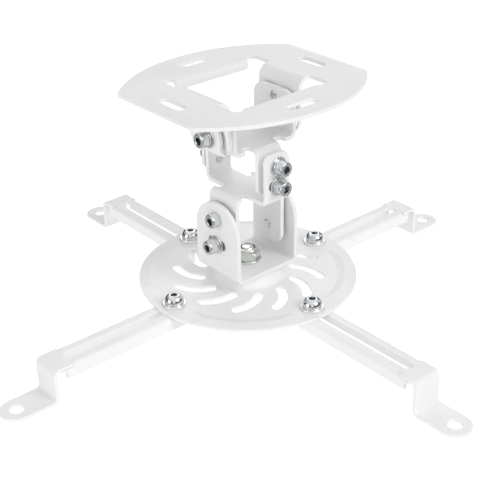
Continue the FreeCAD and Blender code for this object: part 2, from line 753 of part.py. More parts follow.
def make_disc():
    """Pressed disc: raised hub, stepped rim between the arms, curved slots and four screw holes."""
    body = new_body("adapter_disc")
    top, under = "disc_top", "disc_top - disc_gauge"
    peak = "disc_top + hub_rise"
    fall = "(hub_foot - hub_round) / hub_rise"
    slant = f"disc_gauge * (sqrt(1 + ({fall})^2) - {fall})"
    profile = sketch_on(body, "disc_profile", "XZ_Plane")
    add_polygon(
        profile,
        [
            ("swivel_hole", peak),
            ("hub_round", peak),
            ("hub_foot", top),
            ("disc_round", top),
            ("disc_round", under),
            (f"hub_foot - {slant}", under),
            (f"hub_round - {slant}", f"{peak} - disc_gauge"),
            ("swivel_hole", f"{peak} - disc_gauge"),
        ],
    )
    spin(body, "Revolution", profile, "360")
    rings = [("hub_round", peak), (f"hub_round - {slant}", f"{peak} - disc_gauge")]
    soften_rings(body, "hub_shoulder", rings[:1], "hub_soft")
    soften_rings(body, "hub_shoulder_inside", rings[1:], "hub_soft - disc_gauge")
    rings = [("hub_foot", top), (f"hub_foot - {slant}", under)]
    soften_rings(body, "hub_root", rings[:1], "hub_flare")
    soften_rings(body, "hub_root_inside", rings[1:], "hub_flare + disc_gauge")
    strip = sketch_on(body, "rim_strip", "XZ_Plane", turn=45.0)
    add_polygon(
        strip,
        [
            ("rim_inner", f"{top} + cut_margin"),
            ("disc_round + cut_margin", f"{top} + cut_margin"),
            ("disc_round + cut_margin", f"{under} - cut_margin"),
            ("rim_inner", f"{under} - cut_margin"),
        ],
    )
    cut = spin(body, "Groove", strip, "rim_span", "Symmetric")
    ridge = sketch_on(body, "rim_ridge", "XZ_Plane", turn=45.0)
    add_polygon(
        ridge,
        [
            ("rim_inner - rim_lap", top),
            ("rim_inner", top),
            ("rim_step", f"{top} + rim_rise"),
            ("disc_round", f"{top} + rim_rise"),
            ("disc_round", f"{under} + rim_rise"),
            ("rim_step", f"{under} + rim_rise"),
            ("rim_inner", under),
            ("rim_inner - rim_lap", under),
        ],
    )
    raised = spin(body, "Revolution", ridge, "rim_span", "Symmetric")
    repeat(body, "rim_steps", [cut, raised], 4)
    ramps = []
    for side, sign in ((-1, ""), (1, "-")):
        turn = 45.0 + side * num("rim_span") / 2
        ramp = sketch_on(body, f"rim_ramp_{len(ramps)}", "YZ_Plane", "rim_inner - cut_margin", turn)
        add_polygon(
            ramp,
            [
                ("0", f"{top} + rim_ramp_foot"),
                (f"{sign}rim_ramp", f"{top} + rim_rise"),
                (f"{sign}rim_ramp", f"{top} + rim_rise + cut_margin"),
                ("0", f"{top} + rim_rise + cut_margin"),
            ],
        )
        ramps.append(pocket(body, ramp, back=True))
    repeat(body, "rim_ramps", ramps, 4)
    screws = sketch_on(body, "disc_screw_holes", "XY_Plane")
    for x, y in (("screw_reach", "0"), ("-screw_reach", "0"), ("0", "screw_reach"), ("0", "-screw_reach")):
        add_circle(screws, x, y, "pin_hole")
    pocket(body, screws, side="Symmetric")
    turbine = sketch_on(body, "turbine_slot", "XY_Plane")
    centre = (
        "turbine_bow_reach * cos(turbine_bow_turn)",
        "turbine_bow_reach * sin(turbine_bow_turn)",
    )
    add_arc_slot(turbine, centre, "turbine_bow", "turbine_from", "turbine_to", "turbine_wide / 2")
    slot = pocket(body, turbine, side="Symmetric")
    repeat(body, "turbine_slots", [slot], "turbine_count")
    return body


def make_arm(name):
    """Channel arm along +X: slotted web with side flanges, leg down and flat foot with a round hole."""
    body = new_body("arm_" + name)
    top, under = "(disc_top - disc_gauge)", "(disc_top - disc_gauge - arm_gauge)"
    half, edge = "arm_wide / 2", "arm_wide / 2 - arm_gauge"
    sill = f"{top} - arm_flange"
    channel = sketch_on(body, name + "_channel", "YZ_Plane", "arm_start")
    add_fold(
        channel,
        [
            ("-" + half, sill),
            ("-" + half, top, "arm_edge"),
            (half, top, "arm_edge"),
            (half, sill),
            (edge, sill),
            (edge, under, "arm_edge - arm_gauge"),
            (f"-({edge})", under, "arm_edge - arm_gauge"),
            (f"-({edge})", sill),
        ],
    )
    pad(body, channel, "arm_flange_end - arm_start")
    crank = sketch_on(body, name + "_crank", "XZ_Plane")
    outer, inner = "arm_bend + arm_gauge", "arm_bend"
    add_fold(
        crank,
        [
            ("arm_flange_end - fold_lap", top),
            ("arm_leg", top, outer),
            ("arm_leg", "arm_gauge", inner),
            ("arm_tip", "arm_gauge"),
            ("arm_tip", "0"),
            ("arm_leg - arm_gauge", "0", outer),
            ("arm_leg - arm_gauge", under, inner),
            ("arm_flange_end - fold_lap", under),
        ],
    )
    pad(body, crank, "arm_wide", "Symmetric")
    soften(body, name + "_tip", 2, [("arm_tip", half), ("arm_tip", "-" + half)], "arm_end_round")
    soften(body, name + "_flange_notch", 1, [("arm_flange_end", under)], "arm_flange_notch")
    soften(body, name + "_flange_ends", 1, [("arm_flange_end", sill)], "arm_flange_corner")
    soften(body, name + "_nose_ends", 1, [("arm_start", sill)], "arm_nose_corner")
    holes = sketch_on(body, name + "_holes", "XY_Plane")
    add_slot(holes, ("arm_slot_from", "0"), ("arm_slot_to", "0"), "arm_slot_wide / 2")
    add_circle(holes, "arm_hole_reach", "0", "arm_hole")
    pocket(body, holes, side="Symmetric")
    return body


def add_hex(sketch, flats):
    """Regular hexagon about the origin, bound to its width across flats."""
    reach = f"{flats} / sqrt(3)"
    add_polygon(sketch, [(f"{reach} * cos({60 * i})", f"{reach} * sin({60 * i})") for i in range(6)])


def bevel_top(body, name, height, size):
    """Bevel the outer circular edge at a height."""
    base = body.Tip
    level = num(height)
    rings = [
        (edge.Curve.Radius, f"Edge{i}")
        for i, edge in enumerate(base.Shape.Edges, start=1)
        if edge.Curve.TypeId == "Part::GeomCircle" and abs(edge.CenterOfMass.z - level) < 0.01
    ]
    feature = body.newObject("PartDesign::Chamfer", name)
    feature.Base = (base, [max(rings)[1]])
    feature.setExpression("Size", bound(size))
    doc.recompute()


def make_screw(name, head, tall, edge, socket, deep, reach):
    """Screw along Z: head on Z = 0 upward with a hexagon socket, shank downward."""
    body = new_body(name)
    cap = sketch_on(body, name + "_cap", "XY_Plane")
    add_circle(cap, "0", "0", head)
    pad(body, cap, tall)
    bevel_top(body, name + "_edge", tall, edge)
    shank = sketch_on(body, name + "_shank", "XY_Plane")
    add_circle(shank, "0", "0", "pin_round")
    pad(body, shank, reach, back=True)
    key = sketch_on(body, name + "_key", "XY_Plane", tall)
    add_hex(key, socket)
    pocket(body, key, deep)
    return body


def make_ring(name, outer, hole, tall, split=None):
    """Washer on Z = 0, upward; a spring washer is split on one side."""
    body = new_body(name)
    ring = sketch_on(body, name + "_ring", "XY_Plane")
    add_circle(ring, "0", "0", outer)
    add_circle(ring, "0", "0", hole)
    pad(body, ring, tall)
    if split:
        gap = sketch_on(body, name + "_gap", "XY_Plane")
        half = f"{split} / 2"
        inside, past = f"{hole} / 2", f"{outer} + cut_margin"
        add_polygon(gap, [(inside, "-" + half), (past, "-" + half), (past, half), (inside, half)])
        pocket(body, gap, side="Symmetric")
    return body


def make_lock_nut(name, flats, hexed, tall, collar, hole):
    """Self-locking nut on Z = 0, upward: hexagon with a round collar on top."""
    body = new_body(name)
    hexagon = sketch_on(body, name + "_hex", "XY_Plane")
    add_hex(hexagon, flats)
    pad(body, hexagon, hexed)
    ring = sketch_on(body, name + "_collar", "XY_Plane")
    add_circle(ring, "0", "0", collar)
    pad(body, ring, tall)
    bevel_top(body, name + "_edge", tall, f"({tall} - {hexed}) / 2")
    bore = sketch_on(body, name + "_bore", "XY_Plane")
    add_circle(bore, "0", "0", hole)
    pocket(body, bore, side="Symmetric")
    return body


def place(body, spot, axis=(0, 0, 1)):
    """Stand a fastener made along Z at a point, its +Z turned to an axis."""
    turn = FreeCAD.Rotation(V(0, 0, 1), V(*axis))
    body.Placement = FreeCAD.Placement(V(*spot), turn)
    return body


def group(name, bodies):
    """One sub-part of separate equal pieces."""
    compound = doc.addObject("Part::Compound", name)
    compound.Label = name
    compound.Links = bodies
    doc.recompute()
    return compound


def bolt_stack(name, spots, axis_index, faces, grip, sprung=True):
    """Cap screws with spring and flat washers standing on outward faces; returns the groups by name."""
    made = {"bolts": [], "spring_washers": [], "flat_washers": []}
    stack = "flat_tall + spring_tall" if sprung else "0"
    for spot in spots:
        for sign, face in faces:
            tag = f"{name}_{len(made['bolts'])}"
            axis = [0, 0, 0]
            axis[axis_index] = sign

            def at(lift):
                point = [num(t) for t in spot]
                point.insert(axis_index, sign * (num(face) + num(lift)))
                return point

            bolt = make_screw(
                tag + "_bolt",
                "cap_round",
                "cap_tall",
                "cap_edge",
                "cap_socket",
                "cap_socket_deep",
                f"{stack} + {grip} + pin_end",
            )
            made["bolts"].append(place(bolt, at(stack), axis))
            if sprung:
                flat = make_ring(tag + "_flat", "flat_round", "flat_hole", "flat_tall")
                made["flat_washers"].append(place(flat, at("0"), axis))
                spring = make_ring(
                    tag + "_spring", "spring_round", "flat_hole", "spring_tall", "spring_split"
                )
                made["spring_washers"].append(place(spring, at("flat_tall"), axis))
    return {f"{name}_{kind}": group(f"{name}_{kind}", bodies) for kind, bodies in made.items() if bodies}


nodes = {
    "ceiling_plate": make_ceiling_plate(),
    "upper_saddle": make_upper_saddle(),
    "lower_saddle": make_lower_saddle(),
    "swivel_yoke": make_yoke(),
    "adapter_disc": make_disc(),
}

both_ears = [(1, "ear_face"), (-1, "ear_face")]
tilt_grip = "plate_gauge + tilt_gap + saddle_gauge"
nodes.update(bolt_stack("tilt_pivot", [("0", "tilt_height")], 0, both_ears, tilt_grip))
nodes.update(bolt_stack("tilt_lock", [("0", "lock_height")], 0, both_ears, tilt_grip))

roll_spots = [("0", "roll_height"), ("0", "roll_height - roll_lock")]
front_grip = "saddle_gauge + roll_front_gap + saddle_gauge"
nodes.update(bolt_stack("roll_front", roll_spots, 1, [(-1, "lower_face")], front_grip))
back_face = "lower_face + roll_back_gap + saddle_gauge"
back_grip = "saddle_gauge + roll_back_gap + saddle_gauge"
nodes.update(bolt_stack("roll_back", roll_spots, 1, [(1, back_face)], back_grip))

both_yoke = [(1, "yoke_face"), (-1, "yoke_face")]
nod_grip = "yoke_gauge + nod_gap + saddle_gauge"
nodes.update(bolt_stack("yoke_pivot", [("0", "nod_height")], 0, both_yoke, nod_grip, sprung=False))
nodes.update(bolt_stack("yoke_lock", [("0", "nod_height - nod_lock")], 0, both_yoke, nod_grip))

hub_under = "disc_top + hub_rise - disc_gauge"
yoke_floor = "yoke_base + yoke_gauge"
swivel_bolt = new_body("swivel_bolt")
head = sketch_on(swivel_bolt, "swivel_bolt_head", "XY_Plane", hub_under)
add_hex(head, "swivel_head_flats")
pad(swivel_bolt, head, "swivel_head_tall", back=True)
shank = sketch_on(swivel_bolt, "swivel_bolt_shank", "XY_Plane", hub_under)
add_circle(shank, "0", "0", "swivel_pin")
rise = f"{yoke_floor} + swivel_washer_tall + swivel_nut_tall + swivel_stub - ({hub_under})"
pad(swivel_bolt, shank, rise)
nodes["swivel_bolt"] = swivel_bolt
washer = make_ring("swivel_washer", "swivel_washer_round", "swivel_seat_hole", "swivel_washer_tall")
nodes["swivel_washer"] = place(washer, (0, 0, num(yoke_floor)))
nut = make_lock_nut(
    "swivel_lock_nut",
    "swivel_nut_flats",
    "swivel_nut_hex",
    "swivel_nut_tall",
    "swivel_nut_collar",
    "swivel_hole",
)
nodes["swivel_lock_nut"] = place(nut, (0, 0, num(f"{yoke_floor} + swivel_washer_tall")))

arm_under = "disc_top - disc_gauge - arm_gauge"
for name, turn in ARMS.items():
    arm = make_arm(name)
    arm.Placement = FreeCAD.Placement(V(0, 0, 0), FreeCAD.Rotation(V(0, 0, 1), turn))
    nodes["arm_" + name] = arm
    reach = num("screw_reach")
    spot = (reach * math.cos(math.radians(turn)), reach * math.sin(math.radians(turn)))
    seat = num("disc_top + disc_washer_tall")
    grip = "disc_washer_tall + disc_gauge + arm_gauge + nut_tall + nut_stub"
    screw = make_screw(
        "arm_screw_" + name,
        "button_round",
        "button_tall",
        "button_dome",
        "button_socket",
        "button_socket_deep",
        grip,
    )
    nodes["arm_screw_" + name] = place(screw, (*spot, seat))
    washer = make_ring("arm_washer_" + name, "disc_washer_round", "flat_hole", "disc_washer_tall")
    nodes["arm_washer_" + name] = place(washer, (*spot, num("disc_top")))
    nut = make_lock_nut("arm_nut_" + name, "nut_flats", "nut_hex", "nut_tall", "nut_collar", "pin_hole")
    nodes["arm_nut_" + name] = place(nut, (*spot, num(arm_under)), (0, 0, -1))

doc.recompute()
for obj in doc.Objects:
    if "Invalid" in obj.State or "Error" in obj.State:
        raise RuntimeError(f"{obj.Label} failed: {obj.State}")
os.makedirs("parts", exist_ok=True)
for name, obj in nodes.items():
    shape = obj.Shape
    if shape.isNull() or not shape.isValid() or not shape.Solids:
        raise RuntimeError(f"{name} has no valid solid")
    shape.exportStep(f"parts/{name}.step")
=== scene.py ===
"""Dress a low ceiling mount for a projector.

White powder-coated sheet steel, bright zinc fasteners and a pale studio.
"""

import logging
import math
from collections.abc import Callable, Sequence
from dataclasses import dataclass
from enum import Enum
from typing import Any

import bmesh
import bpy
from bmesh.types import BMesh
from bpy.types import Material, Mesh, Node, NodeTree, Object
from bpy.types import NodeSocket as Socket
from mathutils import Matrix, Vector

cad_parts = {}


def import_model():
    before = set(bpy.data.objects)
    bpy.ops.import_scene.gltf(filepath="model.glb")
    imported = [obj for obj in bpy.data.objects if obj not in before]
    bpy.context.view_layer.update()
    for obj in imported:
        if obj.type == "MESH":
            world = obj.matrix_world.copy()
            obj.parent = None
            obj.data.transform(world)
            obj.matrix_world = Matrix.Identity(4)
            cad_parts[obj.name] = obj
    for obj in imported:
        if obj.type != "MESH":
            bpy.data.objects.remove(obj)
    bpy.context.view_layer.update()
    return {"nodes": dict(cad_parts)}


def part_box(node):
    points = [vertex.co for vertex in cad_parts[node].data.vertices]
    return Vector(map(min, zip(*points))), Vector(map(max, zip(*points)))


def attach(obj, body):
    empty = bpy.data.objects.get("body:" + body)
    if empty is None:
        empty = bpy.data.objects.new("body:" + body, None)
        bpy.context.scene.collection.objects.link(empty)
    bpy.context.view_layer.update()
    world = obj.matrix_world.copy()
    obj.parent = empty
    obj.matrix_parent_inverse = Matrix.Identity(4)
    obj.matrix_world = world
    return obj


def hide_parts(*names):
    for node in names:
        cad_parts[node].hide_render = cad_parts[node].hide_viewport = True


LOG = logging.getLogger("projector_mount")
MM = 0.001

Colour = tuple[float, float, float]
Span = tuple[float, float]
Shape = Callable[[float], float]
Radius = float | Shape
Ring = tuple[float, Radius]
Size = tuple[float, float, float]
Spot = tuple[Vector, Vector]
Post = tuple[str, str, str]

WHITE = (1.0, 1.0, 1.0, 1.0)
UNIT: Span = (0.0, 1.0)
UP = Vector((0.0, 0.0, 1.0))


class Axis(Enum):
    """The frame's axis that a screw points along."""

    X = 0
    Y = 1


class Side(Enum):
    """Which end of its axis a screw's head is on."""

    LOW = -1
    HIGH = 1
    BOTH = 0


# Node trees


class Graph:
    """A node tree that is being wired."""

    def __init__(self, tree: NodeTree) -> None:
        """Keep the tree that the nodes go into."""
        self.tree = tree

    def feed(self, node: Node, inputs: dict[Any, Any]) -> None:
        """Set or link the inputs of a node.

        Args:
            node: the node that takes them.
            inputs: socket name or index to a value, or to another node's output socket.
        """
        for key, value in inputs.items():
            if isinstance(value, Socket):
                self.tree.links.new(value, node.inputs[key])
            else:
                node.inputs[key].default_value = value

    def node(self, kind: str, inputs: dict[Any, Any] | None = None, **settings: Any) -> Node:
        """Add a node.

        Args:
            kind: Blender's type name of the node.
            inputs: as for feed.
            settings: properties of the node, set before its inputs.

        Returns:
            The new node.
        """
        made = self.tree.nodes.new(kind)
        for key, value in settings.items():
            setattr(made, key, value)
        self.feed(made, inputs or {})
        return made

    def first(self, kind: str, inputs: dict[Any, Any], **settings: Any) -> Socket:
        """Add a node and return its first output."""
        return self.node(kind, inputs, **settings).outputs[0]

    def group(self, tree: NodeTree, inputs: dict[str, Any]) -> Any:
        """Add a shader group and return its outputs."""
        return self.node("ShaderNodeGroup", inputs, node_tree=tree).outputs

    def math(self, operation: str, one: Any, other: Any) -> Socket:
        """Add a Math node and return its output."""
        return self.first("ShaderNodeMath", {0: one, 1: other}, operation=operation)

    def spread(self, value: Any, source: Span, target: Span = UNIT) -> Socket:
        """Map a value from one range to another, clamped, and return it."""
        ends = dict(zip(("From Min", "From Max", "To Min", "To Max"), (*source, *target)))
        return self.first("ShaderNodeMapRange", {"Value": value, **ends})

    def blend(self, share: Any, one: Any, other: Any) -> Socket:
        """Mix two colours, by the share of the second."""
        return self.node("ShaderNodeMix", {0: share, 6: one, 7: other}, data_type="RGBA").outputs[2]

    def level(self, share: Any, one: Any, other: Any) -> Socket:
        """Mix two values, by the share of the second."""
        return self.first("ShaderNodeMix", {0: share, 2: one, 3: other}, data_type="FLOAT")

    def noise(self, place: Any, scale: Any, detail: float, rough: float = 0.5) -> Socket:
        """Add a noise texture, with its scale in cells to the metre, and return its value."""
        inputs = {"Vector": place, "Scale": scale, "Detail": detail, "Roughness": rough}
        return self.first("ShaderNodeTexNoise", inputs)

    def bump(self, strength: float, depth: float, height: Socket) -> Socket:
        """Add a Bump node, its depth in millimetres, and return its normal."""
        return self.first("ShaderNodeBump", {"Strength": strength, "Distance": depth * MM, "Height": height})


def opaque(colour: Colour) -> tuple[float, float, float, float]:
    """Return the colour with full alpha."""
    return (*colour, 1.0)


def open_group(name: str, kind: str, inputs: dict[str, str], outputs: dict[str, str]) -> tuple[Graph, Any]:
    """Make an empty node group with named sockets.

    Args:
        name: the group's name.
        kind: Shader or Geometry.
        inputs: input name to kind of socket.
        outputs: output name to kind of socket.

    Returns:
        The group's graph and what comes in, by name.
    """
    tree = bpy.data.node_groups.new(name, kind + "NodeTree")
    for way, sockets in (("INPUT", inputs), ("OUTPUT", outputs)):
        for label, sort in sockets.items():
            tree.interface.new_socket(name=label, in_out=way, socket_type="NodeSocket" + sort)
    graph = Graph(tree)
    return graph, graph.node("NodeGroupInput").outputs


def add_object(name: str, data: Any) -> Object:
    """Make an object in the scene.

    Args:
        name: its name.
        data: its mesh, lamp or camera.

    Returns:
        The object.
    """
    made = bpy.data.objects.new(name, data)
    bpy.context.scene.collection.objects.link(made)
    return made


class SurfaceEffects:
    """The shader node groups that the finishes share."""

    SURFACE = {"Color": "Color", "Roughness": "Float", "Height": "Float"}

    def __init__(self) -> None:
        """Build each group once."""
        self.coat_texture = self._coat_texture()
        self.edge_wear_and_painted_light = self._build_edge_mask()
        self.plating = self._plating()

    def painted_light_and_worn_edges(self, graph: Graph, place: Socket, breadth: float, patch: float) -> Socket:
        """Return the edge mask of a breadth in millimetres, in so many patches to the metre. It carries the
        coats' painted edge highlight, the disc's painted edge shade and the zinc's worn edges.
        """
        inputs = {"Vector": place, "Breadth": breadth * MM, "Patch": patch}
        return graph.group(self.edge_wear_and_painted_light, inputs)["Mask"]

    def _coat_texture(self) -> NodeTree:
        """Build the orange peel, slow tone drift and gloss drift of sprayed powder.

        Returns:
            The group, with Color, Roughness and Height outputs.
        """
        sockets = {"Vector": "Vector", "Tone": "Color", "Shade": "Color", "Peel": "Float", "Satin": "Float"}
        graph, given = open_group("coat_texture", "Shader", sockets, self.SURFACE)
        place, cells = given["Vector"], given["Peel"]
        drift = graph.noise(place, scale=26.0, detail=3.0)
        grain = graph.noise(place, scale=graph.math("MULTIPLY", cells, 3.1), detail=2.0)
        peel = graph.noise(place, scale=cells, detail=1.0)
        share = graph.math("MULTIPLY", graph.spread(drift, (0.35, 0.68)), 0.55)
        share = graph.math("ADD", share, graph.spread(grain, (0.5, 0.75), (0.0, 0.25)))
        colour = graph.blend(share, given["Tone"], given["Shade"])
        gloss = graph.math("ADD", given["Satin"], graph.spread(drift, (0.3, 0.7), (-0.04, 0.06)))
        gloss = graph.math("ADD", gloss, graph.spread(grain, (0.3, 0.7), (-0.03, 0.03)))
        height = graph.math("ADD", peel, graph.math("MULTIPLY", grain, 0.35))
        graph.node("NodeGroupOutput", {"Color": colour, "Roughness": gloss, "Height": height})
        return graph.tree

    @staticmethod
    def _build_edge_mask() -> NodeTree:
        """Build a mask of convex and folded edges, broken up by noise.

        Returns:
            The group, with a Mask output.
        """
        sockets = {"Vector": "Vector", "Breadth": "Float", "Patch": "Float"}
        graph, given = open_group("edge_wear_and_painted_light", "Shader", sockets, {"Mask": "Float"})
        rounded = graph.first("ShaderNodeBevel", {"Radius": given["Breadth"]}, samples=4)
        normal = graph.node("ShaderNodeNewGeometry").outputs["Normal"]
        facing = graph.node("ShaderNodeVectorMath", {0: rounded, 1: normal}, operation="DOT_PRODUCT")
        edge = graph.spread(facing.outputs["Value"], (0.995, 0.86))
        patch = graph.noise(given["Vector"], scale=given["Patch"], detail=3.0)
        mask = graph.math("MULTIPLY", edge, graph.spread(patch, (0.3, 0.62), (0.25, 1.0)))
        graph.node("NodeGroupOutput", {"Mask": mask})
        return graph.tree

    def _plating(self) -> NodeTree:
        """Build the tint drift, handling marks and fine scratches of bright zinc.

        Returns:
            The group, with Color, Roughness and Height outputs.
        """
        sockets = {"Vector": "Vector", "Cool": "Color", "Warm": "Color", "Shine": "Float"}
        graph, given = open_group("plating", "Shader", sockets, self.SURFACE)
        place = given["Vector"]
        drift = graph.noise(place, scale=210.0, detail=2.0)
        marks = graph.noise(place, scale=900.0, detail=4.0, rough=0.65)
        stretch = {"Vector": place, "Scale": (1.0, 1.0, 0.12), "Rotation": (0.5, 0.4, 0)}
        scratch = graph.noise(graph.first("ShaderNodeMapping", stretch), scale=5200.0, detail=1.0)
        colour = graph.blend(graph.spread(drift, (0.38, 0.64)), given["Cool"], given["Warm"])
        shine = graph.math("ADD", given["Shine"], graph.spread(marks, (0.5, 0.72), (0.0, 0.1)))
        shine = graph.math("ADD", shine, graph.spread(scratch, (0.55, 0.75), (0.0, 0.06)))
        height = graph.math("ADD", graph.math("MULTIPLY", scratch, 0.6), marks)
        graph.node("NodeGroupOutput", {"Color": colour, "Roughness": shine, "Height": height})
        return graph.tree


# Finishes


def blank_material(name: str) -> tuple[Material, Graph, Node, Socket]:
    """Make a material that is ready for wiring.

    Args:
        name: the material's name.

    Returns:
        The material, its graph, its Principled node and the object's coordinates.
    """
    material = bpy.data.materials.new(name)
    material.use_nodes = True
    graph = Graph(material.node_tree)
    shader = material.node_tree.nodes["Principled BSDF"]
    return material, graph, shader, graph.node("ShaderNodeTexCoord").outputs["Object"]


@dataclass(frozen=True)
class PowderCoat:
    """White satin powder coat on folded sheet steel."""

    name: str
    tone: Colour = (0.87, 0.87, 0.87)
    shade: Colour = (0.825, 0.826, 0.83)
    # edge tone: a painted highlight along the edges, lighter than the coat
    edge_tone: Colour = (0.95, 0.95, 0.95)
    satin: float = 0.36
    peel: float = 640.0
    peel_depth: float = 0.02
    peel_strength: float = 0.3
    edge_breadth: float = 0.7
    edge_patch: float = 190.0
    edge_gloss: float = 0.12
    mirror: float = 0.45

    def build(self, effects: SurfaceEffects) -> Material:
        """Make the material.

        Args:
            effects: the shared shader groups.

        Returns:
            The coat's material.
        """
        material, graph, shader, place = blank_material(self.name)
        tones = {"Tone": opaque(self.tone), "Shade": opaque(self.shade)}
        spray = {"Vector": place, **tones, "Peel": self.peel, "Satin": self.satin}
        coat = graph.group(effects.coat_texture, spray)
        edge_light_and_wear = effects.painted_light_and_worn_edges(graph, place, self.edge_breadth, self.edge_patch)
        smoother = graph.math("MULTIPLY", edge_light_and_wear, self.edge_gloss)
        wiring = {
            # the edges take the edge tone: a painted highlight on most coats, painted shade on the disc
            "Base Color": graph.blend(edge_light_and_wear, coat["Color"], opaque(self.edge_tone)),
            "Roughness": graph.math("SUBTRACT", coat["Roughness"], smoother),
            "Normal": graph.bump(self.peel_strength, self.peel_depth, coat["Height"]),
            "Specular IOR Level": self.mirror,
        }
        graph.feed(shader, wiring)
        return material


@dataclass(frozen=True)
class ZincPlate:
    """Bright zinc plate on a steel fastener; its sockets and bores are darkened with painted shade."""

    name: str
    cool: Colour = (0.74, 0.77, 0.81)
    warm: Colour = (0.77, 0.77, 0.75)
    shine: float = 0.16
    mark_depth: float = 0.008
    mark_strength: float = 0.35
    # painted shade: the dark colour that stands in for the shadow inside sockets and bores
    painted_socket_shade: Colour = (0.36, 0.39, 0.40)
    edge_tone: Colour = (0.9, 0.9, 0.9)
    edge_breadth: float = 0.25
    edge_patch: float = 700.0

    def build(self, effects: SurfaceEffects) -> Material:
        """Make the material.

        Args:
            effects: the shared shader groups.

        Returns:
            The plate's material.
        """
        material, graph, shader, place = blank_material(self.name)
        tints = {"Cool": opaque(self.cool), "Warm": opaque(self.warm)}
        plate = graph.group(effects.plating, {"Vector": place, **tints, "Shine": self.shine})
        edge_light_and_wear = effects.painted_light_and_worn_edges(graph, place, self.edge_breadth, self.edge_patch)
        colour = graph.blend(edge_light_and_wear, plate["Color"], opaque(self.edge_tone))
        # sockets and bores get the painted shade colour, standing in for their shadow
        shaded_recess = graph.node("ShaderNodeAttribute", attribute_name="shaded_recess").outputs["Fac"]
        wiring = {
            "Base Color": graph.blend(shaded_recess, colour, opaque(self.painted_socket_shade)),
            "Roughness": plate["Roughness"],
            "Normal": graph.bump(self.mark_strength, self.mark_depth, plate["Height"]),
            "Metallic": 1.0,
        }
        graph.feed(shader, wiring)
        return material


@dataclass(frozen=True)
class StudioPaper:
    """Pale background paper: near white to the camera, darker to what it lights, and clear from below."""

    name: str = "studio_paper"
    tone: Colour = (0.35, 0.35, 0.35)
    fibre: float = 400.0
    fibre_shade: float = 0.97
    rough: float = 0.95
    glow: float = 0.84
    bounce: float = 0.85
    mirror: float = 0.16

    def build(self) -> Material:
        """Make the paper.

        Returns:
            The paper's material.
        """
        material, graph, shader, place = blank_material(self.name)
        fibre = graph.spread(graph.noise(place, self.fibre, detail=3.0), (0.3, 0.7))
        soft = opaque(tuple(self.fibre_shade * part for part in self.tone))
        path = graph.node("ShaderNodeLightPath").outputs
        lit = graph.blend(path["Is Glossy Ray"], opaque((self.bounce,) * 3), opaque((self.mirror,) * 3))
        under = graph.node("ShaderNodeNewGeometry").outputs["Backfacing"]
        wiring = {
            "Base Color": graph.blend(fibre, opaque(self.tone), soft),
            "Roughness": self.rough,
            "Specular IOR Level": 0.0,
            "Emission Color": graph.blend(path["Is Camera Ray"], lit, WHITE),
            "Emission Strength": self.glow,
            "Alpha": graph.math("SUBTRACT", 1.0, under),
        }
        graph.feed(shader, wiring)
        return material


# Turned and threaded shapes

THREAD_DEPTH = 0.61
THREAD_RINGS = 6
CORNER_SLOPE = 0.6
SOCKET_RINGS = 3
TIP_INSET = 0.65
TIP_TALL = 0.45
SHANK_ROOT = 0.4


def hexagon(across: float) -> Shape:
    """Return the radius, by angle, of a hexagon of that size across its flats."""
    return lambda angle: across / 2 / math.cos(angle % (math.pi / 3) - math.pi / 6)


def knurl(radius: float, ridges: int, depth: float) -> Shape:
    """Return the radius, by angle, of a straight knurl with valleys of that depth."""
    return lambda angle: radius - depth * (0.5 - 0.5 * math.cos(ridges * angle))


def within(shape: Shape, limit: float) -> Shape:
    """Return the shape's radius, cut to a circle, as a chamfered hexagon is."""
    return lambda angle: min(shape(angle), limit)


def helix(height: float, major: float, pitch: float) -> Shape:
    """Return a thread's radius, by angle, at one height, from the radius over its crests and its pitch."""
    deep = THREAD_DEPTH * pitch
    return lambda angle: major - deep * abs(2 * ((height / pitch - angle / math.tau) % 1.0) - 1)


def evenly(low: float, high: float, steps: int) -> list[float]:
    """Return the ends and the even steps between them."""
    return [low + (high - low) * step / steps for step in range(steps + 1)]


def thread(low: float, high: float, major: float, pitch: float) -> list[Ring]:
    """Return the rings of a thread from low to high, from the radius over its crests and its pitch."""
    heights = evenly(low, high, max(2, round((high - low) / pitch * THREAD_RINGS)))
    return [(height, helix(height, major, pitch)) for height in heights]


def quarter(start: Span, end: Span, steps: int = 4) -> list[Ring]:
    """Return the rings of a quarter ellipse that leaves start along the axis and meets end square to it."""
    (low, wide), (high, slim) = start, end
    return [
        (low + (high - low) * math.sin(angle), slim + (wide - slim) * math.cos(angle))
        for angle in evenly(0.0, math.pi / 2, steps)
    ]


def chamfer(across: float, face: float, up: int, shares: Sequence[float]) -> list[Ring]:
    """Return the rings where a hexagon's corners are turned off.

    Args:
        across: size over the flats.
        face: height of the end face.
        up: 1 if the hexagon stands above that face, -1 if it hangs below.
        shares: how far each ring is on the way out to the corners.

    Returns:
        One ring for each share.
    """
    inner, corner = across / 2, across / math.sqrt(3)
    reach = (corner - inner) * CORNER_SLOPE
    flats = hexagon(across)
    return [(face + up * reach * share, within(flats, inner + (corner - inner) * share)) for share in shares]


def threaded_shank(length: float, radius: float, pitch: float) -> list[Ring]:
    """Return the rings of a threaded shank that points down, from its tip to a little inside its head."""
    tip: list[Ring] = [(-length, 0.0), (-length, radius - TIP_INSET)]
    return tip + thread(TIP_TALL - length, SHANK_ROOT, radius, pitch) + [(SHANK_ROOT, 0.0)]


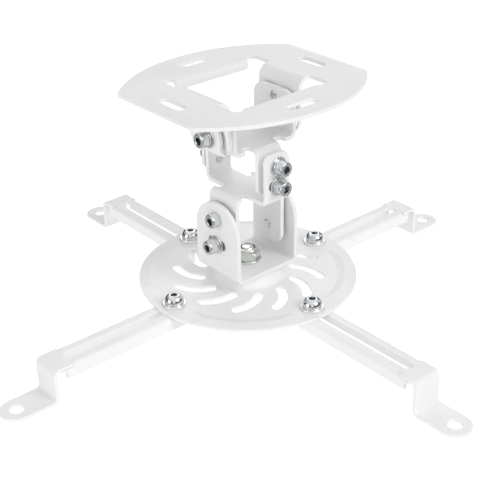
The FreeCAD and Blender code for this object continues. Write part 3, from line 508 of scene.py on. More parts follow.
class Turning:
    """A mesh of turned islands about the Z axis, in millimetres, that ends up in metres."""

    def __init__(self) -> None:
        """Start with nothing."""
        self.vertices: list[tuple[float, float, float]] = []
        self.shaded_recess: list[float] = []
        self.faces: list[tuple[int, ...]] = []

    def turn(self, profile: Sequence[Ring], segments: int, closed: bool = False, sunk: int = 0) -> "Turning":
        """Add an island.

        Args:
            profile: rings of height and radius, outside seen on the left of the way they run.
            segments: faces round the axis.
            closed: whether the last ring joins the first, as on a washer.
            sunk: how many of the last rings lie in a socket or bore, which the plating darkens with painted
                shade.

        Returns:
            This turning.
        """
        rings: list[list[int]] = []
        for index, (height, radius) in enumerate(profile):
            start = len(self.vertices)
            count = 1 if radius == 0 else segments
            for step in range(count):
                angle = math.tau * step / segments
                reach = radius(angle) if callable(radius) else radius
                self.vertices.append((reach * math.cos(angle), reach * math.sin(angle), height))
            # vertices in a socket or bore are marked for painted shade
            self.shaded_recess += [float(index >= len(profile) - sunk)] * count
            rings.append([start + step % count for step in range(segments)])
        following = rings[1:] + rings[:1] if closed else rings[1:]
        for lower, upper in zip(rings, following):
            for step in range(segments):
                after = (step + 1) % segments
                corners = dict.fromkeys((lower[step], lower[after], upper[after], upper[step]))
                self.faces.append(tuple(corners))
        return self

    def mesh(self, name: str) -> Mesh:
        """Make the mesh.

        Args:
            name: the mesh's name.

        Returns:
            A closed mesh in metres with its sharp edges marked.
        """
        made = bpy.data.meshes.new(name)
        made.from_pydata([tuple(MM * part for part in vertex) for vertex in self.vertices], [], self.faces)
        # the mark of the socket and bore vertices that the plating darkens with painted shade
        made.attributes.new("shaded_recess", "FLOAT", "POINT").data.foreach_set("value", self.shaded_recess)
        return smooth_by_angle(made)


def smooth_by_angle(mesh: Mesh, degrees: float = 38.0) -> Mesh:
    """Point the faces outwards and shade the mesh smooth up to an angle.

    Args:
        mesh: the closed mesh.
        degrees: edges that fold by more stay sharp.

    Returns:
        The same mesh.
    """
    shell = bmesh.new()
    shell.from_mesh(mesh)
    bmesh.ops.recalc_face_normals(shell, faces=shell.faces)
    shell.to_mesh(mesh)
    shell.free()
    mesh.shade_smooth()
    mesh.set_sharp_from_angle(angle=math.radians(degrees))
    return mesh


@dataclass(frozen=True)
class HexSocket:
    """The hexagon socket of a screw's head, with a drilled cone at its bottom."""

    across: float
    deep: float
    land: float
    lip: float
    lead: float
    drill: float

    def rings(self, top: float) -> list[Ring]:
        """Return the socket's rings.

        Args:
            top: height of the head's end face.

        Returns:
            Rings from the rim down to the tip of the cone.
        """
        floor, flats = top - self.deep, hexagon(self.across)
        rim = (top - self.lip, flats(0.0) + self.land)
        return [rim, (top - self.lead, flats), (floor, flats), (floor - self.drill, 0.0)]


@dataclass(frozen=True)
class SocketScrew:
    """A socket screw. Its head stands on Z = 0 and its shank points down.

    The rings of its foot are heights with insets from the head's radius.
    """

    length: float
    head_round: float
    head_tall: float
    shank_round: float = 2.5
    pitch: float = 0.8
    shank_segments: int = 24
    segments: int = 72
    foot: tuple[Span, ...] = ()
    socket: HexSocket = HexSocket(4.0, 2.6, land=0.12, lip=0.0, lead=0.25, drill=0.5)

    def side(self) -> list[Ring]:
        """Return the rings of the head's side and crown, which each kind of screw has its own of."""
        raise NotImplementedError

    def mesh(self) -> Mesh:
        """Build the screw.

        Returns:
            Its mesh.
        """
        profile: list[Ring] = [(0.0, 0.0)]
        profile += [(height, self.head_round - inset) for height, inset in self.foot]
        profile += self.side() + self.socket.rings(self.head_tall)
        shank = threaded_shank(self.length, self.shank_round, self.pitch)
        turning = Turning().turn(profile, self.segments, sunk=SOCKET_RINGS)
        return turning.turn(shank, self.shank_segments).mesh("socket_screw")


@dataclass(frozen=True)
class CapScrew(SocketScrew):
    """Knurled cap screw of a joint. Neck and crown are drops from the top, with insets."""

    segments: int = 96
    foot: tuple[Span, ...] = ((0.0, 0.45), (0.35, 0.1))
    ridges: int = 32
    ridge_deep: float = 0.2
    band: Span = (0.55, 1.25)
    neck: Span = (1.0, 0.06)
    crown: tuple[Span, Span] = ((0.85, 0.04), (0.0, 0.75))

    def side(self) -> list[Ring]:
        """Find the rings of the knurl and of the rounded crown.

        Returns:
            Rings from the knurl's foot to the end face.
        """
        head, top = self.head_round, self.head_tall
        ribs = knurl(head, self.ridges, self.ridge_deep)
        rings = [(self.band[0], ribs), (top - self.band[1], ribs), (top - self.neck[0], head - self.neck[1])]
        return rings + quarter(*[(top - drop, head - inset) for drop, inset in self.crown])


@dataclass(frozen=True)
class DomeScrew(SocketScrew):
    """Button-head screw of an arm."""

    foot: tuple[Span, ...] = ((0.0, 0.25), (0.15, 0.05), (0.3, 0.0))
    socket: HexSocket = HexSocket(3.5, 1.9, land=0.1, lip=0.05, lead=0.3, drill=0.4)
    skirt: float = 0.9
    land: float = 2.2
    dome_rings: int = 10

    def side(self) -> list[Ring]:
        """Return the rings of the dome."""
        return quarter((self.skirt, self.head_round), (self.head_tall, self.land), self.dome_rings)


@dataclass(frozen=True)
class FlatWasher:
    """Flat washer with rounded rims, from Z = 0 up. Foot and crown are shares of its softness."""

    outer: float
    bore: float
    tall: float
    soft: float = 0.22
    foot: float = 0.3
    crown: Span = (1.4, 1.6)
    segments: int = 64

    def mesh(self) -> Mesh:
        """Build the washer.

        Returns:
            Its mesh.
        """
        soft, tall, outer, bore = self.soft, self.tall, self.outer, self.bore
        profile: list[Ring] = [(0.0, bore + soft), (0.0, outer - soft)]
        profile += [(self.foot * soft, outer - self.foot * soft), (soft, outer)]
        profile += quarter((tall - self.crown[0] * soft, outer), (tall, outer - self.crown[1] * soft))
        profile += [(tall, bore + soft), (tall - soft, bore), (soft, bore)]
        return Turning().turn(profile, self.segments, closed=True).mesh("flat_washer")


@dataclass(frozen=True)
class LockNut:
    """Hexagon nut with a rounded locking collar, from Z = 0 up. Its crown is in shares of the collar."""

    across: float
    hex_tall: float
    tall: float
    collar: float
    bore: float
    lead: float = 0.15
    mouth: float = 0.35
    face_share: float = 0.97
    corners: tuple[float, ...] = (0.15, 0.45, 0.75, 1.0)
    fillet: Span = (0.25, 0.15)
    crown: Span = (0.19, 0.8)
    crown_rings: int = 5
    segments: int = 72

    def mesh(self) -> Mesh:
        """Build the nut.

        Returns:
            Its mesh.
        """
        collar, bore, tall = self.collar, self.bore, self.tall
        profile: list[Ring] = [(0.0, bore + self.mouth), (0.0, self.across / 2 * self.face_share)]
        profile += chamfer(self.across, 0.0, 1, self.corners)
        profile += chamfer(self.across, self.hex_tall, -1, self.corners[::-1])
        profile += [(self.hex_tall, collar + self.fillet[1]), (self.hex_tall + self.fillet[0], collar)]
        dome = (tall, self.crown[1] * collar)
        profile += quarter((tall - self.crown[0] * collar, collar), dome, self.crown_rings)
        profile += [(tall, bore + self.lead), (tall - 2 * self.lead, bore), (self.mouth, bore)]
        return Turning().turn(profile, self.segments, closed=True, sunk=SOCKET_RINGS).mesh("lock_nut")


@dataclass(frozen=True)
class HexBolt:
    """Hexagon-head bolt of the swivel. Its head's bearing face is on Z = 0 and its shank points up."""

    across: float
    head_tall: float
    length: float
    shank_round: float = 4.0
    pitch: float = 1.25
    face_share: float = 0.94
    corners: tuple[float, ...] = (0.1, 0.4, 0.7, 1.0)
    bearing: float = 0.2
    root: float = 0.5
    run_out: float = 0.75
    point: tuple[Span, ...] = ((0.12, 0.72), (0.0, 0.95))
    segments: tuple[int, int] = (72, 32)

    def mesh(self) -> Mesh:
        """Build the bolt.

        Returns:
            Its mesh.
        """
        flats, inner = hexagon(self.across), self.across / 2
        low, top = -self.head_tall, self.length
        head: list[Ring] = [(low, 0.0), (low, inner * self.face_share)]
        head += chamfer(self.across, low, 1, self.corners)
        head += [(-self.bearing, flats), (0.0, within(flats, inner)), (0.0, 0.0)]
        shank: list[Ring] = [(-self.root, 0.0)]
        shank += thread(-self.root, top - self.run_out, self.shank_round, self.pitch)
        shank += [(top - drop, self.shank_round - inset) for drop, inset in self.point]
        shank += [(top, 0.0)]
        return Turning().turn(head, self.segments[0]).turn(shank, self.segments[1]).mesh("hex_bolt")


# Geometry node trees for what repeats

WIRE_STEPS = 56
WIRE_SOFT = 0.00018
SPLIT_TURNS = 0.955
SPLIT_RISE = 0.16
SPLIT_SMOOTH = 50.0


class NodeShop:
    """Builds the geometry node trees once and runs them."""

    def __init__(self) -> None:
        """Build the trees."""
        self.array = self._fastener_array()
        self.coil = self._spring_ring()

    @staticmethod
    def _close(graph: Graph, label: str, shape: Socket, finish: Socket) -> NodeTree:
        """End a tree with real geometry in its finish.

        Args:
            graph: the tree's graph.
            label: name of the tree's output.
            shape: what the tree has made.
            finish: the material's socket.

        Returns:
            The tree.
        """
        solid = graph.first("GeometryNodeRealizeInstances", {"Geometry": shape})
        dressed = graph.first("GeometryNodeSetMaterial", {"Geometry": solid, "Material": finish})
        graph.node("NodeGroupOutput", {label: dressed})
        return graph.tree

    def _fastener_array(self) -> NodeTree:
        """Build the tree that sets a fastener on each point, along the point's axis, at a seeded turn.

        Returns:
            The tree.
        """
        sockets = {"Spots": "Geometry", "Fastener": "Object", "Seed": "Int", "Finish": "Material"}
        graph, given = open_group("fastener_array", "Geometry", sockets, {"Fasteners": "Geometry"})
        axis = graph.first("GeometryNodeInputNamedAttribute", {"Name": "axis"}, data_type="FLOAT_VECTOR")
        along = graph.first("FunctionNodeAlignRotationToVector", {"Vector": axis}, axis="Z")
        draw = {3: math.tau, "Seed": given["Seed"]}
        angle = graph.node("FunctionNodeRandomValue", draw, data_type="FLOAT").outputs[1]
        spin = graph.first("FunctionNodeAxisAngleToRotation", {"Axis": UP, "Angle": angle})
        turned = graph.first("FunctionNodeRotateRotation", {0: along, 1: spin}, rotation_space="LOCAL")
        master = graph.node("GeometryNodeObjectInfo", {"Object": given["Fastener"], "As Instance": True})
        placing = {"Points": given["Spots"], "Instance": master.outputs["Geometry"], "Rotation": turned}
        placed = graph.first("GeometryNodeInstanceOnPoints", placing)
        return self._close(graph, "Fasteners", placed, given["Finish"])

    def _spring_ring(self) -> NodeTree:
        """Build the tree of a split spring washer: a square wire along one short turn of a helix.

        Returns:
            The tree.
        """
        sizes = dict.fromkeys(("Middle", "Breadth", "Thickness", "Rise", "Turns"), "Float")
        sockets = {"Geometry": "Geometry", **sizes, "Finish": "Material"}
        graph, given = open_group("spring_ring", "Geometry", sockets, {"Ring": "Geometry"})
        spiral = {
            "Resolution": WIRE_STEPS,
            "Rotations": given["Turns"],
            "Start Radius": given["Middle"],
            "End Radius": given["Middle"],
            "Height": given["Rise"],
        }
        path = graph.first("GeometryNodeCurveSpiral", spiral)
        level = graph.first("GeometryNodeSetCurveNormal", {"Curve": path}, mode="Z_UP")
        square = {"Width": given["Breadth"], "Height": given["Thickness"]}
        wire = graph.first("GeometryNodeCurvePrimitiveQuadrilateral", square)
        rounding = {"Curve": wire, "Radius": WIRE_SOFT, "Count": 2}
        soft = graph.first("GeometryNodeFilletCurve", rounding, mode="POLY")
        sweep = {"Curve": level, "Profile Curve": soft, "Fill Caps": True}
        return self._close(graph, "Ring", graph.first("GeometryNodeCurveToMesh", sweep), given["Finish"])

    @staticmethod
    def run(tree: NodeTree, base: Mesh, values: dict[str, Any]) -> Mesh:
        """Run a tree on a mesh.

        Args:
            tree: the geometry node tree.
            base: the mesh that goes in.
            values: input name to value.

        Returns:
            A plain mesh of the result.
        """
        carrier = add_object("carrier", base)
        modifier = carrier.modifiers.new("nodes", "NODES")
        modifier.node_group = tree
        for socket in tree.interface.items_tree:
            if socket.item_type == "SOCKET" and socket.in_out == "INPUT" and socket.name in values:
                modifier[socket.identifier] = values[socket.name]
        graph = bpy.context.evaluated_depsgraph_get()
        made = bpy.data.meshes.new_from_object(carrier.evaluated_get(graph))
        bpy.data.objects.remove(carrier)
        return made

    def spring_washer(self, outer: float, bore: float, tall: float, finish: Material) -> Mesh:
        """Make a split spring washer, from Z = 0 up.

        Args:
            outer: outer radius in millimetres.
            bore: inner radius.
            tall: height over both ends of the split.
            finish: its material.

        Returns:
            The washer's mesh.
        """
        rise = SPLIT_RISE * tall
        values = {
            "Middle": (outer + bore) / 2 * MM,
            "Breadth": (outer - bore) * MM,
            "Thickness": (tall - rise) * MM,
            "Rise": rise * MM,
            "Turns": SPLIT_TURNS,
            "Finish": finish,
        }
        made = self.run(self.coil, bpy.data.meshes.new("blank"), values)
        made.transform(Matrix.Translation((0.0, 0.0, (tall - rise) / 2 * MM)))
        return smooth_by_angle(made, SPLIT_SMOOTH)


# Sub-assemblies

WELD = 0.002 * MM
CUT_SNAP = 0.001 * MM
FLAT_WITHIN = 0.5
RING_SEED = 40


@dataclass
class Workshop:
    """What every sub-assembly works with."""

    nodes: dict[str, Object]
    effects: SurfaceEffects
    shop: NodeShop

    def finish(self, kind: PowderCoat | ZincPlate) -> Material:
        """Return a finish's material, made on first use."""
        return bpy.data.materials.get(kind.name) or kind.build(self.effects)

    def settle(self, piece: Object, body: str, node: str, slot: str) -> None:
        """Let a finished piece stand for a CAD node and move with its body.

        Args:
            piece: the finished object.
            body: the CAD body that carries it.
            node: the CAD node that it stands for.
            slot: the record's material slot; not used.
        """
        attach(piece, body)
        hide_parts(node)
        LOG.info("%s: %d faces on %s", piece.name, len(piece.data.polygons), body)

    def fit(
        self, name: str, model: Mesh, spots: Sequence[Spot], plate: ZincPlate, seed: int, post: Post
    ) -> None:
        """Set a fastener on every spot, as one plain mesh, and let that stand for a node.

        Args:
            name: the new piece's name.
            model: the fastener's mesh, along Z.
            spots: place and axis of each one.
            plate: its finish.
            seed: of the turn about the axis.
            post: body, node and slot, as settle takes them.
        """
        master = add_object("master", model)
        points = bpy.data.meshes.new("spots")
        points.from_pydata([tuple(place) for place, _ in spots], [], [])
        axes = points.attributes.new("axis", "FLOAT_VECTOR", "POINT")
        axes.data.foreach_set("vector", [part for _, axis in spots for part in axis])
        values = {"Fastener": master, "Seed": seed, "Finish": self.finish(plate)}
        made = self.shop.run(self.shop.array, points, values)
        bpy.data.objects.remove(master)
        made.name = name
        self.settle(add_object(name, made), *post)


@dataclass
class SheetPiece:
    """A folded or pressed sheet of steel, with its cut edges rounded and coated."""

    node: str
    body: str
    slot: str
    coat: PowderCoat
    edge_round: float = 0.3
    edge_segments: int = 2
    fold_from: float = 40.0
    step_area: float = 8.0
    step_corner: float = 30.0
    normal_weight: int = 80

    def mark_edges(self, shell: BMesh) -> None:
        """Mark the sharp edges for rounding, all but those of the small pointed step where a flange ends.

        Args:
            shell: the welded sheet.
        """
        weight = shell.edges.layers.float.new("bevel_weight_edge")
        sharp = {edge for edge in shell.edges if edge.calc_face_angle(0.0) > math.radians(self.fold_from)}
        for edge in sharp:
            edge[weight] = 1.0
        for face in shell.faces:
            between = [loop for loop in face.loops if {loop.edge, loop.link_loop_prev.edge} <= sharp]
            corner = min((loop.calc_angle() for loop in between), default=math.pi)
            if face.calc_area() < self.step_area * MM**2 and corner < math.radians(self.step_corner):
                for edge in face.edges:
                    edge[weight] = 0.0

    def press(self, shell: BMesh) -> None:
        """Leave a folded sheet as it is."""

    def build(self, work: Workshop) -> Object:
        """Copy the node's surface, weld it and round its edges.

        Args:
            work: the shared workshop.

        Returns:
            The sheet's object.
        """
        shell = bmesh.new()
        shell.from_mesh(work.nodes[self.node].data)
        bmesh.ops.remove_doubles(shell, verts=shell.verts, dist=WELD)
        flat = math.radians(FLAT_WITHIN)
        bmesh.ops.dissolve_limit(shell, angle_limit=flat, verts=shell.verts, edges=shell.edges)
        self.press(shell)
        self.mark_edges(shell)
        mesh = bpy.data.meshes.new(self.node + "_sheet")
        shell.to_mesh(mesh)
        shell.free()
        for spare in ("custom_normal", "sharp_edge", "sharp_face"):
            if spare in mesh.attributes:
                mesh.attributes.remove(mesh.attributes[spare])
        mesh.shade_smooth()
        piece = add_object(self.node + "_sheet", mesh)
        soft = piece.modifiers.new("edges", "BEVEL")
        soft.width = self.edge_round * MM
        soft.segments = self.edge_segments
        soft.limit_method = "WEIGHT"
        soft.use_clamp_overlap = False
        soft.loop_slide = False
        even = piece.modifiers.new("shade", "WEIGHTED_NORMAL")
        even.weight = self.normal_weight
        graph = bpy.context.evaluated_depsgraph_get()
        piece.data = bpy.data.meshes.new_from_object(piece.evaluated_get(graph))
        piece.modifiers.clear()
        return piece

    def dress(self, work: Workshop) -> None:
        """Build the sheet, coat it and let it stand for its node.

        Args:
            work: the shared workshop.
        """
        piece = self.build(work)
        piece.data.materials.clear()
        piece.data.materials.append(work.finish(self.coat))
        work.settle(piece, self.body, self.node, self.slot)


@dataclass
class PressedDisc(SheetPiece):
    """The adapter disc, whose raised rim has soft creases and falls a little towards its edge."""

    flat_top: float = 22.5
    gauge: float = 1.8
    top_share: float = 0.1
    rim_foot: float = 0.35
    rim_crest: float = 57.5
    rim_edge: float = 64.0
    rim_fall: float = 0.75
    rim_from: float = 51.5
    crease_from: float = 4.0

    def press(self, shell: BMesh) -> None:
        """Let the rim run out into the flat at its ends and fall outwards.

        Args:
            shell: the welded disc.
        """
        for vertex in shell.verts:
            reach, height = vertex.co.xy.length / MM, vertex.co.z / MM
            if reach < self.rim_from:
                continue
            top = height > self.flat_top - self.top_share * self.gauge
            flat = self.flat_top if top else self.flat_top - self.gauge
            lift = height - flat
            if top and lift < self.rim_foot:
                lift = 0.0
            share = min(max((reach - self.rim_crest) / (self.rim_edge - self.rim_crest), 0.0), 1.0)
            vertex.co.z = (flat + lift * (1.0 - self.rim_fall * share)) * MM
        bmesh.ops.remove_doubles(shell, verts=shell.verts, dist=WELD)
        shell.normal_update()

    def mark_edges(self, shell: BMesh) -> None:
        """Mark the sharp edges, and the creases of the raised rim as well.

        Args:
            shell: the welded disc.
        """
        super().mark_edges(shell)
        weight = shell.edges.layers.float["bevel_weight_edge"]
        for edge in shell.edges:
            middle = (edge.verts[0].co + edge.verts[1].co) / 2
            fold = math.degrees(edge.calc_face_angle(0.0))
            if middle.xy.length > self.rim_from * MM and self.crease_from < fold <= self.fold_from:
                edge[weight] = 1.0


@dataclass
class ArmChannel(SheetPiece):
    """A slotted arm, whose long bends are parted near the flanges' outer ends to keep their shading even."""

    cuts: tuple[float, ...] = (126.5, 132.4)

    def press(self, shell: BMesh) -> None:
        """Part the arm's surface across its length.

        Args:
            shell: the welded arm.
        """
        tip = max((vertex.co.xy for vertex in shell.verts), key=lambda place: place.length)
        along = Vector((tip.x, 0.0, 0.0)) if abs(tip.x) > abs(tip.y) else Vector((0.0, tip.y, 0.0))
        along.normalize()
        for cut in self.cuts:
            parts = [*shell.verts, *shell.edges, *shell.faces]
            place = along * cut * MM
            bmesh.ops.bisect_plane(shell, geom=parts, dist=CUT_SNAP, plane_co=place, plane_no=along)
        shell.normal_update()


@dataclass
class ScrewJoint:
    """A pair of cap screws of one joint, with their washers' outer radius, bore and height."""

    name: str
    body: str
    axis: Axis
    side: Side
    seed: int
    sprung: bool = True
    head_round: float = 4.25
    head_tall: float = 5.0
    spring: Size = (4.4, 2.7, 1.3)
    flat: Size = (5.5, 2.65, 1.0)
    plate: ZincPlate = ZincPlate("bright_zinc_screws")
    ring_plate: ZincPlate = ZincPlate("bright_zinc_washers", (0.78, 0.80, 0.82), (0.80, 0.80, 0.79), 0.24)

    def spots(self, node: str, depth: float, half: float) -> list[Spot]:
        """Find where the fasteners of a node sit: one on each side, or two above each other on one side.

        Args:
            node: the CAD node with the pair.
            depth: from the outer face to the fastener's own Z = 0, in millimetres.
            half: the fastener's radius.

        Returns:
            Place and outward axis of each fastener.
        """
        low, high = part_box(node)
        middle = (low + high) / 2
        along = self.axis.value
        both = self.side is Side.BOTH
        heights = (middle.z,) if both else (low.z + half * MM, high.z - half * MM)
        found = []
        for sign in (-1.0, 1.0) if both else (float(self.side.value),):
            axis = Vector((0.0, 0.0, 0.0))
            axis[along] = sign
            face = high if sign > 0 else low
            for height in heights:
                place = middle.copy()
                place[along] = face[along] - sign * depth * MM
                place.z = height
                found.append((place, axis))
        return found

    def shank(self, work: Workshop) -> float:
        """Measure the screws' length under the head, in millimetres, from their CAD node."""
        reach = [abs(vertex.co[self.axis.value]) for vertex in work.nodes[self.name + "_bolts"].data.vertices]
        return (max(reach) - min(reach)) / MM - self.head_tall

    def dress(self, work: Workshop) -> None:
        """Build the screws and washers and let them stand for their nodes.

        Args:
            work: the shared workshop.
        """
        node = self.name + "_bolts"
        screw = CapScrew(self.shank(work), self.head_round, self.head_tall).mesh()
        spots = self.spots(node, self.head_tall, self.head_round)
        post = (self.body, node, "zinc_bolt")
        work.fit(self.name + "_cap_screws", screw, spots, self.plate, self.seed, post)
        if not self.sprung:
            return
        spring = work.shop.spring_washer(*self.spring, work.finish(self.ring_plate))
        rings = (
            ("_split_rings", "_spring_washers", spring, self.spring),
            ("_plain_washers", "_flat_washers", FlatWasher(*self.flat).mesh(), self.flat),
        )
        for count, (label, kind, ring, (outer, _, tall)) in enumerate(rings, 1):
            node, seed = self.name + kind, self.seed + RING_SEED * count
            post = (self.body, node, "zinc_washer")
            work.fit(self.name + label, ring, self.spots(node, tall, outer), self.ring_plate, seed, post)


def upright(node: str) -> tuple[Vector, Vector, float, float]:
    """Measure the CAD node of one upright fastener.

    Args:
        node: the CAD node.

    Returns:
        The middle of its foot, the middle of its top, its radius and its height in millimetres.
    """
    low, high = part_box(node)
    foot = (low + high) / 2
    top = foot.copy()
    foot.z = low.z
    top.z = high.z
    return foot, top, (high.x - low.x) / 2 / MM, (high.z - low.z) / MM


@dataclass
class ArmFixing:
    """The domed screw, washer and lock nut that hold an arm under the disc."""

    place: str
    seed: int
    head_tall: float = 4.8
    washer_bore: float = 2.65
    washer_soft: float = 0.3
    nut_flats: float = 8.0
    nut_bore: float = 2.55
    hex_share: float = 0.72
    collar_share: float = 0.45
    plate: ZincPlate = ZincPlate("bright_zinc_arm_screws", (0.72, 0.75, 0.79), (0.75, 0.75, 0.74), 0.13)
    ring_plate: ZincPlate = ZincPlate("bright_zinc_arm_washers", (0.88, 0.89, 0.90), (0.90, 0.90, 0.89), 0.36)

    def dress(self, work: Workshop) -> None:
        """Build the three fasteners and let them stand for their nodes.

        Args:
            work: the shared workshop.
        """
        foot, seat, radius, _ = upright("arm_screw_" + self.place)
        seat.z -= self.head_tall * MM
        screw = DomeScrew((seat.z - foot.z) / MM, radius, self.head_tall).mesh()
        under, _, radius, tall = upright("arm_washer_" + self.place)
        ring = FlatWasher(radius, self.washer_bore, tall, self.washer_soft).mesh()
        _, above, _, tall = upright("arm_nut_" + self.place)
        collar = self.collar_share * self.nut_flats
        nut = LockNut(self.nut_flats, self.hex_share * tall, tall, collar, self.nut_bore).mesh()
        parts = (
            ("arm_dome_screw_", "arm_screw_", screw, (seat, UP), self.plate, "zinc_bolt"),
            ("arm_plain_washer_", "arm_washer_", ring, (under, UP), self.ring_plate, "zinc_washer"),
            ("arm_lock_nut_", "arm_nut_", nut, (above, -UP), self.plate, "zinc_bolt"),
        )
        for count, (label, kind, model, spot, plate, slot) in enumerate(parts):
            post = ("pivot_" + self.place, kind + self.place, slot)
            work.fit(label + self.place, model, [spot], plate, self.seed + RING_SEED * count, post)


@dataclass
class SwivelFixing:
    """The hexagon bolt, washer and lock nut that the disc turns on."""

    flats: float = 13.0
    head_tall: float = 5.3
    hex_tall: float = 4.6
    collar: float = 5.9
    bore: float = 4.05
    washer_soft: float = 0.25
    nut_lead: float = 0.5
    seeds: tuple[int, int, int] = (3, 5, 7)
    plate: ZincPlate = ZincPlate("zinc_swivel_bolt", (0.75, 0.78, 0.76), (0.78, 0.78, 0.74), 0.22)

    def dress(self, work: Workshop) -> None:
        """Build the three fasteners and let them stand for their nodes.

        Args:
            work: the shared workshop.
        """
        seat, top, _, _ = upright("swivel_bolt")
        seat.z += self.head_tall * MM
        bolt = HexBolt(self.flats, self.head_tall, (top.z - seat.z) / MM).mesh()
        under, _, radius, tall = upright("swivel_washer")
        ring = FlatWasher(radius, self.bore, tall, self.washer_soft).mesh()
        above, _, _, tall = upright("swivel_lock_nut")
        nut = LockNut(self.flats, self.hex_tall, tall, self.collar, self.bore, self.nut_lead).mesh()
        parts = (
            ("swivel_hex_bolt", "swivel_bolt", bolt, seat),
            ("swivel_plain_washer", "swivel_washer", ring, under),
            ("swivel_collar_nut", "swivel_lock_nut", nut, above),
        )
        for seed, (name, node, model, place) in zip(self.seeds, parts):
            work.fit(name, model, [(place, UP)], self.plate, seed, ("yoke", node, "zinc_swivel"))


# Studio


@dataclass(frozen=True)
class SoftLight:
    """A square soft light that hangs at an offset from the aim, along the camera's own directions."""

    name: str
    right: float
    up: float
    back: float
    size: float
    watts: float


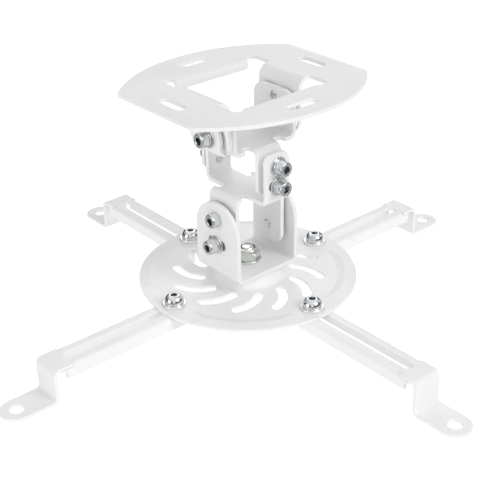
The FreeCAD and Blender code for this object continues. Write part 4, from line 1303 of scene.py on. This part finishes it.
@dataclass
class Studio:
    """Pale floor, soft light and the camera of the product picture."""

    azimuth: float = -40.5
    elevation: float = 28.45
    roll: float = -0.82
    aim: tuple[float, float, float] = (0.0, 0.0, 0.0435)
    distance: float = 0.621
    lens: float = 79.9
    shift: float = -0.01546
    clip_start: float = 0.01
    floor_half: float = 6.0
    floor_drop: float = 0.16
    sky: float = 0.48
    wall_band: Span = (0.25, 0.85)
    walls: Span = (0.06, 1.0)
    paper: StudioPaper = StudioPaper()
    lights: tuple[SoftLight, ...] = (
        SoftLight("key", 1.0, 0.5, 1.1, 0.9, 9.5),
        SoftLight("fill", -1.2, -0.1, 0.8, 0.8, 5.0),
        SoftLight("front", 0.0, -0.3, 1.4, 0.8, 1.6),
        SoftLight("back", 0.0, 1.3, -0.8, 0.9, 3.4),
        SoftLight("rim", 1.3, 0.8, -0.5, 0.8, 1.4),
    )

    def directions(self) -> tuple[Vector, Vector, Vector]:
        """Find the camera's own directions.

        Returns:
            Unit vectors to the right, upwards and back to the camera.
        """
        a, e = math.radians(self.azimuth), math.radians(self.elevation)
        back = Vector((math.sin(a) * math.cos(e), -math.cos(a) * math.cos(e), math.sin(e)))
        right = Vector((math.cos(a), math.sin(a), 0.0))
        return right, back.cross(right), back

    def set_camera(self) -> None:
        """Place the camera as the picture was taken."""
        right, up, back = self.directions()
        tilt = math.radians(self.roll)
        across = math.cos(tilt) * right + math.sin(tilt) * up
        upward = math.cos(tilt) * up - math.sin(tilt) * right
        camera = add_object("camera", bpy.data.cameras.new("camera"))
        turn = Matrix((across, upward, back)).transposed().to_4x4()
        camera.matrix_world = Matrix.Translation(Vector(self.aim) + back * self.distance) @ turn
        camera.data.lens = self.lens
        camera.data.shift_x = self.shift
        camera.data.clip_start = self.clip_start
        bpy.context.scene.camera = camera

    def lay_floor(self) -> None:
        """Lay the paper below the reach of the tilted arms."""
        half, low = self.floor_half, -self.floor_drop
        mesh = bpy.data.meshes.new("studio_floor")
        corners = [(-half, -half, low), (half, -half, low), (half, half, low), (-half, half, low)]
        mesh.from_pydata(corners, [], [(0, 1, 2, 3)])
        mesh.materials.append(self.paper.build())
        floor = add_object("studio_floor", mesh)

    def hang(self, light: SoftLight) -> None:
        """Hang a soft light so that it faces the object.

        Args:
            light: its place, size and power.
        """
        right, up, back = self.directions()
        offset = light.right * right + light.up * up + light.back * back
        lamp = bpy.data.lights.new(light.name, "AREA")
        lamp.size = light.size
        lamp.energy = light.watts
        hung = add_object(light.name, lamp)
        hung.location = Vector(self.aim) + offset
        hung.rotation_euler = (-offset).to_track_quat("-Z", "Y").to_euler()

    def set_world(self) -> None:
        """Surround the object with even light, and with darker walls in what the metal mirrors."""
        world = bpy.data.worlds.new("studio_air")
        bpy.context.scene.world = world
        world.use_nodes = True
        graph = Graph(world.node_tree)
        way = graph.node("ShaderNodeTexCoord").outputs["Generated"]
        height = graph.node("ShaderNodeSeparateXYZ", {0: way}).outputs["Z"]
        walls = graph.spread(height, self.wall_band, self.walls)
        path = graph.node("ShaderNodeLightPath").outputs
        level = graph.level(path["Is Glossy Ray"], self.sky, walls)
        level = graph.level(path["Is Camera Ray"], level, 1.0)
        graph.feed(world.node_tree.nodes["Background"], {"Color": WHITE, "Strength": level})

    def build(self) -> None:
        """Set up floor, air, lights and camera."""
        self.lay_floor()
        self.set_world()
        for light in self.lights:
            self.hang(light)
        bpy.context.scene.view_settings.view_transform = "Standard"
        self.set_camera()


# Assembly

PLACES = ("back_right", "back_left", "front_left", "front_right")
ARM_SEED = 21


def sheets() -> list[SheetPiece]:
    """List the sheet pieces from the ceiling down.

    Returns:
        The pieces.
    """
    coat = PowderCoat("white_coat_brackets")
    flat = PowderCoat("white_coat_plate")
    bright = (0.92, 0.92, 0.92)
    # painted shade: the disc's darker edge tone stands in for the shade on its rim face and slot walls
    edge = (0.82, 0.82, 0.825)
    pressed = PowderCoat("white_coat_disc", bright, (0.88, 0.881, 0.885), edge, satin=0.42, peel=700.0)
    limb = PowderCoat("white_coat_arms", bright, (0.885, 0.886, 0.89))
    return [
        SheetPiece("ceiling_plate", "ceiling", "plate_white", flat),
        SheetPiece("upper_saddle", "upper", "saddle_white", coat),
        SheetPiece("lower_saddle", "lower", "saddle_white", coat),
        SheetPiece("swivel_yoke", "yoke", "yoke_white", coat),
        PressedDisc("adapter_disc", "disc", "disc_white", pressed),
        *(ArmChannel("arm_" + place, "arm_" + place, "arm_white", limb) for place in PLACES),
    ]


def joints() -> list[ScrewJoint]:
    """Return the screw joints from the ceiling down."""
    return [
        ScrewJoint("tilt_pivot", "upper", Axis.X, Side.BOTH, 11),
        ScrewJoint("tilt_lock", "upper", Axis.X, Side.BOTH, 12),
        ScrewJoint("roll_front", "upper", Axis.Y, Side.LOW, 13),
        ScrewJoint("roll_back", "lower", Axis.Y, Side.HIGH, 14),
        ScrewJoint("yoke_pivot", "lower", Axis.X, Side.BOTH, 15, sprung=False),
        ScrewJoint("yoke_lock", "lower", Axis.X, Side.BOTH, 16),
    ]


def main() -> None:
    """Load the frame, build and dress each sub-assembly, and set the studio."""
    logging.basicConfig(level=logging.INFO, format="%(name)s: %(message)s")
    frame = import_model()
    work = Workshop(frame["nodes"], SurfaceEffects(), NodeShop())
    for sheet in sheets():
        sheet.dress(work)
    for joint in joints():
        joint.dress(work)
    for index, place in enumerate(PLACES):
        ArmFixing(place, ARM_SEED + index).dress(work)
    SwivelFixing().dress(work)
    Studio().build()


if __name__ == "__main__":
    main()
